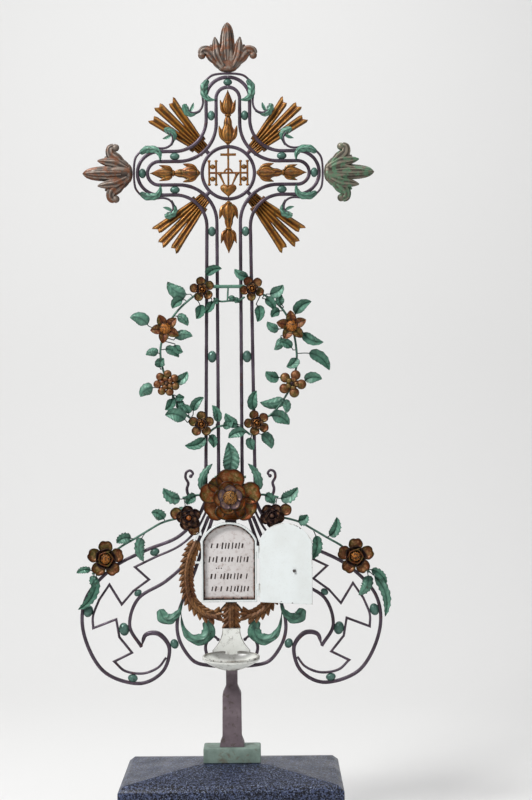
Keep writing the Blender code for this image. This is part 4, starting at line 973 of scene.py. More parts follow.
# ---------------------------------------------------------------- stone and foot
@dataclass
class Stonework:
    """The granite block and the cast foot on it.

    Attributes:
        width: the block's width.
        depth: the block's depth.
        slope: rise of its hipped top.
        chamfer: bevel of its shoulder.
        ridge: width and depth of the flat on top.
        foot: width, depth and height of the cast foot.
    """

    width: float = 0.500
    depth: float = 0.300
    slope: float = 0.022
    chamfer: float = 0.012
    ridge: tuple[float, float] = (0.170, 0.080)
    foot: tuple[float, float, float] = (0.131, 0.056, 0.036)

    def block(self) -> Surface:
        """The block: oblong rings with tight corners; arcs ease its bottom, shoulder and top edges."""
        w, d, c = self.width, self.depth, self.chamfer
        low = -PLINTH_HEIGHT
        shoulder = -self.slope
        ease = 0.0015
        levels = [(w - 2 * ease, d - 2 * ease, low), (w, d, low + ease), (w, d, shoulder - c - ease),
                  (w - ease, d - ease, shoulder - c + ease * 0.6),
                  (w - 2 * c + ease, d - 2 * c + ease, shoulder - ease),
                  (w - 2 * c - 2 * ease, d - 2 * c - 2 * ease, shoulder + ease * 0.4),
                  (self.ridge[0] + 2 * ease, self.ridge[1] + 2 * ease, -0.0006), (self.ridge[0], self.ridge[1], 0.0)]
        return self.oblong(levels)

    @staticmethod
    def oblong(levels: Sequence[tuple[float, float, float]], corner: float = 0.0018) -> Surface:
        """Oblong rings whose four corners are quarter rounds: corner centre + corner * (cos, sin)."""
        quarter = np.linspace(0.0, math.pi / 2, CORNER_STEPS)
        turn = np.concatenate([quarter + k * math.pi / 2 for k in range(4)])
        sx = np.repeat([1, -1, -1, 1], CORNER_STEPS)
        sh = np.repeat([1, 1, -1, -1], CORNER_STEPS)
        rings = []
        for w, d, y in levels:
            x = sx * (w / 2 - corner) + corner * np.cos(turn)
            h = sh * (d / 2 - corner) + corner * np.sin(turn)
            rings.append(np.column_stack([x, np.full(len(x), y), h]))
        return loft(np.stack(rings))

    def cast_foot(self) -> Surface:
        """The foot: an oblong with soft arrises and a slightly hollow top edge."""
        w, d, y = self.foot
        levels = [(w - 0.003, d - 0.003, 0.0003), (w, d, 0.0018), (w, d, y - 0.004),
                  (w - 0.0015, d - 0.0015, y - 0.0016), (w - 0.005, d - 0.005, y - 0.0003), (w - 0.012, d - 0.012, y)]
        return self.oblong(levels, 0.003)

    def dress(self) -> None:
        """Build both pieces."""
        ship(self.block(), "plinth_stone", STONE, ["granite_plinth"])
        ship(self.cast_foot(), "foot_casting", FOOT_PAINT, ["foot_socket"])


@dataclass
class Post:
    """The post: flared foot, square body, shoulder, neck and the flat tang behind the case.

    Attributes:
        foot_y: height of its foot above the block.
        tang_y: height of the tang's top.
    """

    foot_y: float = 0.0363
    tang_y: float = 0.572

    def surface(self) -> Surface:
        """Rounded oblongs one above another, as the solid has them, with soft changes of width."""
        f = self.foot_y
        body = Stonework.oblong([
            (0.0555, 0.0435, f), (0.0560, 0.0440, f + 0.002), (0.0540, 0.0430, f + 0.007),
            (0.0470, 0.0410, f + 0.016), (0.0440, 0.0400, f + 0.021), (0.0427, 0.0388, 0.1525),
            (0.0415, 0.0384, 0.1565), (0.0290, 0.0335, 0.1705), (0.0260, 0.0320, 0.1745),
            (0.0260, 0.0320, 0.2150), (0.0258, 0.0110, 0.2258), (0.0258, 0.0100, 0.2290),
            (0.0258, 0.0100, self.tang_y - 0.001), (0.0240, 0.0085, self.tang_y)], 0.0022)
        backing = Stonework.oblong([(0.0225, 0.0185, 0.2020), (0.0234, 0.0190, 0.2035), (0.0234, 0.0190, 0.2970),
                                    (0.0225, 0.0185, 0.2988)], 0.0015).moved(h=0.0098)
        return Surface.merged([body, backing])

    def dress(self) -> None:
        """Build the post."""
        ship(self.surface(), "post_iron_bar", POST_PAINT, ["post"])


@dataclass
class HolyWaterBowl:
    """The enamelled bowl on its flared back plate.

    Attributes:
        radius: half its width.
        rim_y: height of its rim.
        height: its own height.
        wall: thickness of its wall.
        stretch: its depth as a share of its width.
        middle_h: distance of its axis in front of the bars' middle.
        lean: angle by which the dish leans forward.
        plate: heights of the back plate's back and front.
        plate_half: half the back plate's width at its top, and what the flare adds at its foot.
        plate_rise: height of the flare.
        screw_y: height of the screw.
    """

    radius: float = 0.065
    rim_y: float = 0.252
    height: float = 0.035
    wall: float = 0.0035
    stretch: float = 0.62
    middle_h: float = 0.0606
    lean: float = math.radians(7.0)
    plate: tuple[float, float] = (0.0203, 0.0243)
    plate_half: tuple[float, float] = (0.020, 0.023)
    plate_rise: float = 0.051
    screw_y: float = 0.287

    def dish(self) -> Surface:
        """The dish: outer curve, rolled rim and inner curve, turned and squeezed from front to back."""
        t = shares(26)
        r, hgt = self.radius, self.height
        fall = -0.009 - (hgt - 0.009) * (1 - np.cos(t * math.pi / 2)) ** 0.9
        out_r = (r - 0.001) * np.cos(t * math.pi / 2) ** 0.62
        outer = np.column_stack([out_r, fall])[::-1]
        outer[0] = (0.0, -hgt)
        turn = np.linspace(-math.pi / 2, math.pi * 0.9, 14)
        roll = np.column_stack([r - 0.0025 + 0.0025 * np.cos(turn), -0.0025 + 0.0025 * np.sin(turn)])
        band = np.array([[r - 0.0008, -0.0085], [r - 0.0003, -0.0055]])
        inner_r = (r - self.wall - 0.002) * np.cos(t * math.pi / 2) ** 0.62
        inner = np.column_stack([inner_r, -0.006 - (hgt - 0.010) * (1 - np.cos(t * math.pi / 2)) ** 0.9])
        inner[-1, 0] = 0.0
        dish = revolved(np.vstack([outer, band, roll, inner]), self.stretch, 96)
        high = dish.points[:, 1]
        dish.tone = np.clip((high + hgt) / hgt * 1.6, 0.0, 1.0)
        dish.tone[high > -0.0045] = 0.35
        dish.part = 0.5 * np.clip((-dish.points[:, 2] - 0.008) / 0.02, 0.0, 1.0) * (high > -0.022)
        return dish.spun(self.lean, 1, 2, (0.0, 0.0)).moved(y=self.rim_y, h=self.middle_h)

    def back(self) -> Surface:
        """The back plate: its half width falls from foot to top as top + flare * (1 - t) ** 2.2."""
        foot = self.rim_y + 0.006
        y = np.concatenate([[self.rim_y - 0.012, foot], foot + self.plate_rise * shares(14)[1:]])
        t = np.clip((y - self.rim_y - 0.006) / self.plate_rise, 0, 1)
        half = self.plate_half[0] + self.plate_half[1] * (1 - t) ** 2.2
        outline = np.vstack([np.column_stack([half, y]), np.column_stack([-half, y])[::-1]])
        return slab(outline, *self.plate)

    def dress(self) -> None:
        """Build the bowl with its back plate, screw and bracket."""
        screw = ball(0.0, self.screw_y, 0.0246, 0.0034, 0.0034, 0.0018)
        bracket = Stonework.oblong([(0.022, 0.0149, 0.218), (0.024, 0.0155, 0.220), (0.024, 0.0155, 0.231),
                                    (0.022, 0.0149, 0.2325)], 0.001).moved(h=0.02825)
        parts = [self.dish(), self.back(), screw, bracket]
        ship(Surface.merged(parts), "bowl_enamel", BOWL_WHITE, ["holy_water_bowl"])


# ---------------------------------------------------------------- bars
def forge(path: Array, width: float, seed: float = 0.0) -> Array:
    """Width along a hammered bar: two slow sines a few hundredths deep."""
    run = run_along(path)
    return width * (1 + 0.022 * np.sin(run * 190 + seed) + 0.018 * np.sin(run * 73 + 2 * seed))


@dataclass
class CrossBars:
    """The outer and inner bars that run round the cross, with green beads between them."""

    def path(self, half: float, fillet: float, foot_half: float) -> Array:
        """The left half of a bar: a right-angled outline with arcs at its corners.

        Args:
            half: the bar's distance from the arms' middle lines.
            fillet: radius of the inner corners.
            foot_half: its distance from the axis at its lower end.

        Returns:
            Points from the top of the cross to the lower end.
        """
        top = CENTRE_Y + TOP_ARM + half
        side = -SIDE_ARM - half
        low = CENTRE_Y - half - fillet
        return rounded([(-0.0002, top, 0), (-half, top, half - 0.001), (-half, CENTRE_Y + half, fillet),
                        (side, CENTRE_Y + half, half), (side, CENTRE_Y - half, half),
                        (-half, CENTRE_Y - half, fillet), (-half, low, 0), (-foot_half, BAR_END_Y, 0)])

    def dress(self) -> None:
        """Build the bars and their beads."""
        outer = self.path(OUTER_HALF, OUTER_FILLET, OUTER_FOOT_HALF)
        inner = self.path(INNER_HALF, INNER_FILLET, INNER_HALF)
        ship_pair(sweep(outer, FLAT_BAR, forge(outer, BAR_WIDTH), BAR_DEPTH), "bar_outer", BARS, "outer_bar")
        ship_pair(sweep(inner, FLAT_BAR, forge(inner, BAR_WIDTH, 1.0), BAR_DEPTH), "bar_inner", BARS, "inner_bar")
        near = [(-38, 1484), (-197, 1352), (-123, 1390), (-123, 1314), (-38, 1217), (-42, 929)]
        beads = [spacer(outer, inner, place) for place in near]
        ship_pair(Surface.merged(beads), "beads_cross", GREEN_BEADS, "")
        y = CENTRE_Y + TOP_ARM + (OUTER_HALF + INNER_HALF) / 2
        ship(ball(0.0, y, 0.0, 0.0104, 0.0078, 0.0078), "bead_top", GREEN_BEADS, ["top_spacer_ball"])


@dataclass
class BaseScrolls:
    """The scrolled base: big scrolls, zigzags, U-shaped bars and their acanthus hooks.

    Attributes:
        outer: path of the big scroll on the left.
        inner: path of the bar that joins the scroll's end to the middle.
        lower: path of the U-shaped bar on the left.
    """

    outer: Array = field(default_factory=lambda: smooth([
        (-57.5, 597.6), (-78, 558), (-124, 514), (-196, 485), (-272, 445), (-333, 378), (-340, 296), (-296, 209),
        (-216, 179), (-160, 205), (-143, 258), (-166, 292), (-197, 291), (-207, 263)]))
    inner: Array = field(default_factory=lambda: smooth([
        (-207, 263), (-234, 312), (-214, 374), (-150, 414), (-96, 464), (-70, 517), (-51, 562)]))
    lower: Array = field(default_factory=lambda: smooth([
        (-33, 596), (-44, 552), (-86, 430), (-120, 345), (-122, 285), (-90, 232), (-48, 219), (-17, 219)]))

    def zigzag(self) -> Array:
        """The thin bar inside the scroll: a curve, four sharp corners, steps and a hooked foot."""
        upper = smooth([(-53, 580), (-80, 530), (-120, 494), (-175, 469), (-221, 447)])
        corners = straight([(-221, 447), (-189, 418), (-225, 392), (-252, 361), (-280, 407), (-304, 372)])
        side = smooth([(-304, 372), (-318, 336), (-318, 307)])
        step = straight([(-318, 307), (-265, 327), (-258, 286), (-229, 250), (-270, 230)])
        foot = smooth([(-270, 230), (-245, 208), (-205, 202), (-170, 215), (-151, 238)])
        return np.vstack([upper, corners[1:], side[1:], step[1:], foot[1:]])

    def dress(self) -> None:
        """Build the base's bars, beads and leaves."""
        share = shares(len(self.outer))
        swell = 1.0 + 0.35 * np.exp(-((share - 0.86) / 0.09) ** 2)
        point = np.clip((1.0 - share) * 24, 0.35, 1.0)
        big = sweep(self.outer, FLAT_BAR, BAR_WIDTH * swell * point, BAR_DEPTH * swell)
        second = sweep(self.inner, FLAT_BAR, forge(self.inner, BAR_WIDTH * 0.98), BAR_DEPTH * 0.94)
        ship_pair(Surface.merged([big, second]), "scroll_big", BARS, "base_scroll")
        thin = self.zigzag()
        ship_pair(sweep(thin, FLAT_BAR, forge(thin, THIN_WIDTH), BAR_DEPTH * 0.94), "zigzag", BARS, "zigzag_bar")
        reach = (THIN_WIDTH + BAR_WIDTH) / 4
        beads = [spacer(thin, path, near, 1.1, 1.3, reach) for path, near in (
            (self.outer, (-178, 482)), (self.outer, (-329, 353)), (self.outer, (-229, 192)),
            (self.inner, (-216, 386)), (self.inner, (-246, 300)))]
        beads.append(spacer(self.lower, self.outer, (-130, 263), 1.0, 1.2, BAR_WIDTH * 0.55))
        ship_pair(Surface.merged(beads), "beads_base", GREEN_BEADS, "")
        ship_pair(self.u_bar(), "scroll_lower", BARS, "lower_scroll")
        ship_pair(self.acanthus(), "acanthus_base", VERDIGRIS, "")

    def u_bar(self) -> Surface:
        """The U-shaped bar with the small C-curl beside the bowl, which thins towards its round end."""
        curl = smooth([(-48, 219), (-60, 258), (-52, 281), (-40, 286), (-31, 279)])
        width = BAR_WIDTH * (1.0 - 0.35 * shares(len(curl)))
        end = ball(curl[-1, 0], curl[-1, 1], 0.0, 0.0040, 0.0040, 0.0040)
        return Surface.merged([sweep(self.lower, FLAT_BAR, forge(self.lower, BAR_WIDTH, 2.0), BAR_DEPTH),
                               sweep(curl, FLAT_BAR, width, 0.007), end])

    def acanthus(self) -> Surface:
        """Two lobed leaves that hook off the U-shaped bar, one inwards and one outwards."""
        hook = smooth([(-117, 352), (-111, 310), (-94, 285), (-66, 281), (-52, 300), (-60, 324)])
        rise = 0.004 + 0.010 * np.sin(math.pi * shares(len(hook)))
        side = smooth([(-112, 378), (-118, 348), (-138, 329), (-155, 330), (-165, 350)])
        lift = 0.004 + 0.008 * np.sin(math.pi * shares(len(side)))
        wide = Blade(0.034, Outline.CLUB, 0.0025, -0.5, 5, 0.20, 5, 0.0012, 0.0014)
        slim = Blade(0.031, Outline.CLUB, 0.0025, -0.5, 5, 0.20, 5, 0.0012, 0.0014)
        return Surface.merged([wide.along(hook, rise, 0.0, 40, 13), slim.along(side, lift, 0.0, 36, 13)])


# ---------------------------------------------------------------- middle of the cross
@dataclass
class Medallion:
    """The ring in the middle of the cross and the work inside it.

    Attributes:
        inside: how far the work inside reaches.
    """

    inside: float = RING_RADIUS - BAR_WIDTH / 2 - 0.0006

    def ring(self) -> Surface:
        """The ring and its four stubs on the diagonals."""
        turn = circle(96)
        loop = np.stack([RING_RADIUS * np.cos(turn), CENTRE_Y + RING_RADIUS * np.sin(turn)], axis=1)
        parts = [sweep(loop, FLAT_BAR, BAR_WIDTH, BAR_DEPTH, closed=True)]
        for k in range(4):
            angle = math.radians(45 + 90 * k)
            ends = np.outer([0.0625, 0.0715], [math.cos(angle), math.sin(angle)]) + (0.0, CENTRE_Y)
            parts.append(sweep(ends, FLAT_BAR, 0.009, 0.0085))
        return Surface.merged(parts)

    def bar(self, x0: float, y0: float, x1: float, y1: float, width: float = 4.8, end: float = 1.0) -> Surface:
        """A round rod between two places in millimetres from the ring's middle, tapered to `end`."""
        path = straight([(x0, y0), (x1, y1)], 3.0) + (0.0, CENTRE_Y)
        size = width * MM * np.linspace(1.0, end, len(path))
        return sweep(path, ROUND, size, size)

    def trellis(self) -> Surface:
        """The small cross, the rail, the uprights with beads between them, the nails and the heart."""
        edge = self.inside / MM
        parts = [self.bar(0, edge, 0, -34), self.bar(-18, 42, 18, 42, 6.0), self.bar(-46, 0, 46, 0),
                 self.bar(-20, -3, -7, -31, 6.5, 0.45), self.bar(20, -3, 7, -31, 6.5, 0.45)]
        arc = np.linspace(math.pi * 0.95, math.pi * 0.05, 20)
        over = np.stack([9 * np.cos(arc), 9 * np.sin(arc)], axis=1) * MM + (0.0, CENTRE_Y)
        parts.append(sweep(over, ROUND, 0.0042, 0.0042, 0.001))
        for side in (-1, 1):
            parts.append(ball(side * 0.020, CENTRE_Y - 0.003, 0.001, 0.0052, 0.0034, 0.0045, side * 0.4))
            for x in (28, 44):
                parts.append(self.bar(side * x, 27, side * x, -27))
                for y in (-27, 27):
                    parts.append(ball(side * x * MM, CENTRE_Y + y * MM, 0.0, 0.0039, 0.0030, 0.0039))
            for y in (-14, 14):
                parts.append(ball(side * 0.036, CENTRE_Y + y * MM, 0.0, 0.0062, 0.0058, 0.0058))
        return Surface.merged(parts + [self.heart()])

    def heart(self) -> Surface:
        """A puffed heart: a polar outline with a notch on top and a point below, in shrinking rings."""
        turn = circle(48)
        x = 0.019 * np.sin(turn) ** 3
        y = 0.0142 * (0.8125 * np.cos(turn) - 0.3125 * np.cos(2 * turn) - 0.125 * np.cos(3 * turn)
                      - 0.0625 * np.cos(4 * turn)) * 1.25
        size = np.array([0.25, 0.7, 0.95, 1.0, 0.95, 0.7, 0.25])
        high = np.array([-0.0062, -0.0048, -0.0022, 0.0, 0.0032, 0.0066, 0.0085])
        rings = [(np.column_stack([x * s, y * s]), h) for s, h in zip(size, high)]
        return loft(stacked(rings)).moved(y=CENTRE_Y - 0.039)

    def dress(self) -> None:
        """Build the ring and the trellis."""
        ship(self.ring(), "ring_bar", BARS, ["medallion_ring"])
        ship(self.trellis(), "ring_work", GILDING, ["ring_trellis"])


@dataclass
class BudSprays:
    """Two tulip buds in line in each arm."""

    def spray(self, reach: float) -> Surface:
        """One spray, drawn pointing up from the middle of the cross.

        Args:
            reach: distance of its tip from the middle.

        Returns:
            The spray's surface.
        """
        fit = (reach / MM - SPRAY_ROOT_MM) / SPRAY_LENGTH_MM

        def up(y: Union[float, Sequence[float]]) -> Array:
            """A height of the longest spray, fitted to this one."""
            return SPRAY_ROOT_MM + (np.asarray(y, float) - SPRAY_ROOT_MM) * fit

        place = up([SPRAY_ROOT_MM, 68, 72, 80, 90, 98, 105, 108, 118, 127, 131, 135, 143, 150,
                    158, 166, 175, 184, 191])
        wide = np.array([6, 9, 22, 33, 36, 31, 24, 20, 20, 13, 9, 15, 26, 30, 28, 22, 15, 6, 1.0])
        at = np.linspace(place[0], place[-1], 80)
        size = np.interp(at, place, wide) * MM
        size = np.convolve(np.pad(size, 2, mode="edge"), np.ones(5) / 5, "valid")
        path = np.stack([np.zeros(len(at)), at * MM], axis=1)
        parts = [sweep(path, FLUTED, size, size * 0.5, 0.0).as_part(0.15)]
        for foot, steps, wide_mm in ((70, (13, 82, 17, 94, 21, 109), 12), (133, (11, 142, 14, 154, 18, 168), 10)):
            for side in (-1, 0, 1):
                a, ya, b, yb, c, yc = steps
                lean = (side * 2, side * a, side * b, side * c)
                top = yc + (0 if side else 5 if foot < 100 else 20)
                spine = smooth(np.column_stack([lean, up([foot, ya, yb, top])]))
                lift = (0.0035 if side else 0.0068) + 0.0035 * np.sin(math.pi * shares(len(spine)))
                petal = Blade((wide_mm + (0 if side else 4)) * MM, Outline.POINTED, 0.0030, -0.5, 0, 0.0, 3,
                              0.0003, 0.0012)
                parts.append(petal.along(spine, lift, 0.0, 26, 11))
        for ring_y in (70, 132):
            parts.append(ball(0.0, float(up(ring_y)) * MM, 0.001, 0.0078, 0.0030, 0.0068))
        return Surface.merged(parts).moved(y=CENTRE_Y)

    def dress(self) -> None:
        """Build the four sprays."""
        edge = INNER_HALF - BAR_WIDTH / 2 - 0.0009
        for name, reach, turn in (("top", TOP_ARM + edge, 0), ("left", SIDE_ARM + edge, 90),
                                  ("right", SIDE_ARM + edge, -90), ("bottom", 0.186, 180)):
            shape = self.spray(reach).turned(math.radians(turn), (0.0, CENTRE_Y))
            ship(shape, f"buds_{name}", GILDING, [f"bud_spray_{name}"])


@dataclass
class RayBundles:
    """Four bundles of three ribbed strips behind the bars, each strip cut like a swallow's tail.

    Attributes:
        start: where the strips begin, from the middle of the cross.
        back: height of the strips' back.
        thick: thickness of a strip between its reeds.
        reed: height of a reed.
    """

    start: float = 0.073
    back: float = -0.0120
    thick: float = 0.0014
    reed: float = 0.0044

    def strip(self, lean: float, reach: tuple[float, float]) -> Surface:
        """One strip: two reeds side by side, 0.5 - 0.5 cos(2 pi v) high, with a notch between its tips.

        Args:
            lean: its direction from the bundle's middle line at the tips, in degrees.
            reach: distance of its left and right tips, in millimetres.

        Returns:
            The strip's surface.
        """
        across, stations = 25, 40
        v, below = two_skins(across)
        side = np.abs(v)
        length = (reach[0] + reach[1]) / 2 + (reach[1] - reach[0]) / 2 * v
        length = length - 15 * np.clip(1 - side / 0.75, 0, 1) - 6 * np.clip((side - 0.75) / 0.25, 0, 1)
        t = shares(stations)[:, None]
        r = self.start + (length[None, :] * MM - self.start) * t
        angle = np.radians(lean * np.interp(r, [0.100, 0.215], [0.78, 1.0]))
        half = np.interp(r, [0.100, 0.135, 0.215], [0.0060, 0.0088, 0.0114]) * v[None, :]
        wave = 0.5 - 0.5 * np.cos(math.tau * v)
        high = self.back + self.thick + self.reed * wave[None, :] * np.clip(t * 6, 0.3, 1)
        high = high - below[None, :] * (self.thick * np.sqrt(np.clip(1 - v ** 2, 0, 1)) + self.reed * wave)[None, :]
        rings = np.stack([r * np.sin(angle) + half * np.cos(angle), r * np.cos(angle) - half * np.sin(angle),
                          np.broadcast_to(high, r.shape)], axis=2)
        # Painted highlight on the reed crowns, painted shade between them and on the underside.
        tone = np.broadcast_to(0.12 + 0.85 * wave ** 0.8 * (1 - below), r.shape)
        return loft(rings, tone)

    def dress(self) -> None:
        """Build the four bundles with their collars."""
        strips = [self.strip(lean, reach) for lean, reach in ((8.2, (210, 219)), (0, (229, 226)), (-8.2, (222, 216)))]
        band = np.radians(np.linspace(-13, 13, 13))
        collar = np.stack([0.100 * np.sin(band), 0.100 * np.cos(band)], axis=1)
        strips.append(sweep(collar, FLAT_BAR, 0.010, 0.0080, -0.0100).as_part(0.5))
        bundle = Surface.merged(strips).moved(y=CENTRE_Y)
        for name, turn, flip in (("upper_left", 46, False), ("upper_right", -46, True),
                                 ("lower_left", 136, False), ("lower_right", -136, True)):
            shape = (bundle.mirrored() if flip else bundle).turned(math.radians(turn), (0.0, CENTRE_Y))
            ship(shape, f"ribs_{name}", GILDING, [f"rays_{name}"])


@dataclass
class ArmEnds:
    """The leafy bows and the cast palmettes at the ends of the three upper arms."""

    def bow(self) -> tuple[Surface, Surface]:
        """A thin bar that hugs the arm's end under the finial, and the leaves over its corners."""
        half = [(-22, 57), (-43, 49), (-58.3, 26), (-57.2, -10), (-65, -27), (-80, -32), (-91, -26), (-97, -12)]
        hug = smooth(half[::-1] + [(-x, y) for x, y in half])
        bar = sweep(hug, FLAT_BAR, forge(hug, 0.005), 0.008, 0.0018)
        wrap = Blade(0.019, Outline.BROAD, 0.0024, -0.5, 4, 0.16, 5, 0.0008, 0.0014)
        curl = Blade(0.018, Outline.ROUND, 0.0022, -0.4, 4, 0.18, 4, 0.0007, 0.0010)
        leaves = []
        for side in (-1, 1):
            spine = smooth([(side * 45, 44), (side * 54, 28), (side * 53, 8), (side * 42, -2), (side * 26, -3)])
            lift = 0.0065 + 0.0045 * np.sin(math.pi * shares(len(spine)))
            leaves.append(wrap.along(spine, lift, 0.0, 44, 13))
            tail = smooth([(side * 62, -29), (side * 78, -36), (side * 93, -31), (side * 101, -12)])
            leaves.append(curl.along(tail, 0.004 + 0.004 * shares(len(tail)), 0.25, 36, 11))
            spur = bent(np.array([side * 0.088, -0.030]), np.array([side * 0.079, -0.008]), 0.15 * side)
            leaves.append(Blade(0.008, Outline.POINTED).along(spur, 0.0035, 0.0, 16, 7))
        return bar, Surface.merged(leaves)

    def finial(self) -> Surface:
        """The palmette: fluted lobes that spring from one rounded foot.

        Each lobe is a fluted section carried along a curve; its width swells and ends in a point.
        """
        parts = []

        def lobe(points: Points, known: Points, deep: float, h: float,
                 section: Array = FLUTED) -> None:
            """Add one lobe; `known` holds shares of its length with its full width there."""
            path = smooth([(x, 66 + 0.95 * y) for x, y in points])
            place, widths = np.array(known).T
            size = np.interp(shares(len(path)), place, widths) * MM
            size = np.convolve(np.pad(size, 1, mode="edge"), np.ones(3) / 3, "valid")
            parts.append(sweep(path, section, size, np.minimum(size * deep, 0.024), h))

        lobe([(0, y) for y in range(0, 105, 13)] + [(0, 116)], (
            (0, 34), (0.04, 50), (0.1, 64), (0.18, 72), (0.27, 68), (0.36, 54), (0.45, 41), (0.55, 36), (0.7, 33),
            (0.82, 28), (0.91, 20), (0.97, 10), (1, 1)), 0.6, 0.001)
        for side in (-1, 1):
            lobe([(side * 11, 8), (side * 23, 34), (side * 26, 56), (side * 29, 79)],
                 ((0, 16), (0.35, 25), (0.7, 20), (0.9, 11), (1, 3)), 0.7, 0.0060)
            lobe([(side * 16, 14), (side * 32, 33), (side * 44, 46), (side * 56, 47), (side * 61, 38)],
                 ((0, 20), (0.25, 30), (0.55, 24), (0.85, 20), (1, 17)), 0.65, 0.002)
            lobe([(side * 27, 38), (side * 33, 52), (side * 39, 62)],
                 ((0, 18), (0.5, 13), (1, 4)), 0.8, -0.001, ROUND)
            parts.append(ball(side * 0.059, 0.066 + 0.034, 0.002, 0.0088, 0.0088, 0.0074))
        lobe([(0, 22), (0, 50), (0, 80), (0, 110)], ((0, 15), (0.4, 22), (0.75, 17), (1, 2)), 0.6, 0.0090)
        parts.append(ball(0.0, 0.0695, 0.0, 0.0215, 0.0085, 0.0120))
        return Surface.merged(parts)

    def dress(self) -> None:
        """Build the bow and the palmette of each arm."""
        (bow, leaves), cast = self.bow(), self.finial()
        for name, reach, turn in (("top", TOP_ARM, 0), ("left", SIDE_ARM, 90), ("right", SIDE_ARM, -90)):
            bronze = FINIAL_GREEN if name == "right" else FINIAL
            for surface, label, finish, nodes, slot in (
                    (bow, "bow", BARS, [f"arm_bow_{name}"], "verdigris"),
                    (leaves, "bow_leaves", VERDIGRIS, [], "verdigris"),
                    (cast, "palmette", bronze, [f"finial_{name}"], "finial_bronze")):
                shape = surface.moved(y=reach).turned(math.radians(turn)).moved(y=CENTRE_Y)
                ship(shape, f"{label}_{name}", finish, nodes)


# ---------------------------------------------------------------- flowers
class Bloom(Enum):
    """The kinds of flower on the cross."""

    CUPPED = "five round cupped petals, a star ring and a button"
    SEEDED = "five pointed petals round a stippled disc"
    BERRY = "a ring of domes round a smaller ring and a middle"
    ROSE = "wide petals, a whorl and a stippled dome"
    NEST = "dark cups one in another"
    LOBED = "broad lobed petals round a dark cup"


def seeds(radius: float, height: float, low: float, count: int = 70) -> Surface:
    """A dome covered with small bumps on a golden-angle spiral: height + bump at the nearest seed."""
    rings, across = 26, 60
    turn = circle(across)
    r = radius * np.linspace(1.0, 0.04, rings)
    x, y = np.outer(r, np.cos(turn)), np.outer(r, np.sin(turn))
    k = np.arange(count) + 0.5
    way = np.stack([np.cos(k * GOLDEN_ANGLE), np.sin(k * GOLDEN_ANGLE)], axis=1)
    spot = radius * 0.96 * np.sqrt(k / count)[:, None] * way
    gap = np.sqrt(((np.stack([x, y], axis=2)[:, :, None, :] - spot) ** 2).sum(3)).min(2)
    size = radius / math.sqrt(count)
    bump = np.clip(1 - (gap / size) ** 2, 0, 1)
    high = low + height * np.sqrt(np.clip(1 - (r / radius) ** 2, 0, 1))[:, None] + bump * size * 0.55
    # The tone is the bump: painted highlight on each seed, painted shade between them.
    surface = loft(np.stack([x, y, high], axis=2), bump, False, (0, 0, low), (0, 0, low + height + size * 0.4))
    return surface.as_part(1.0)


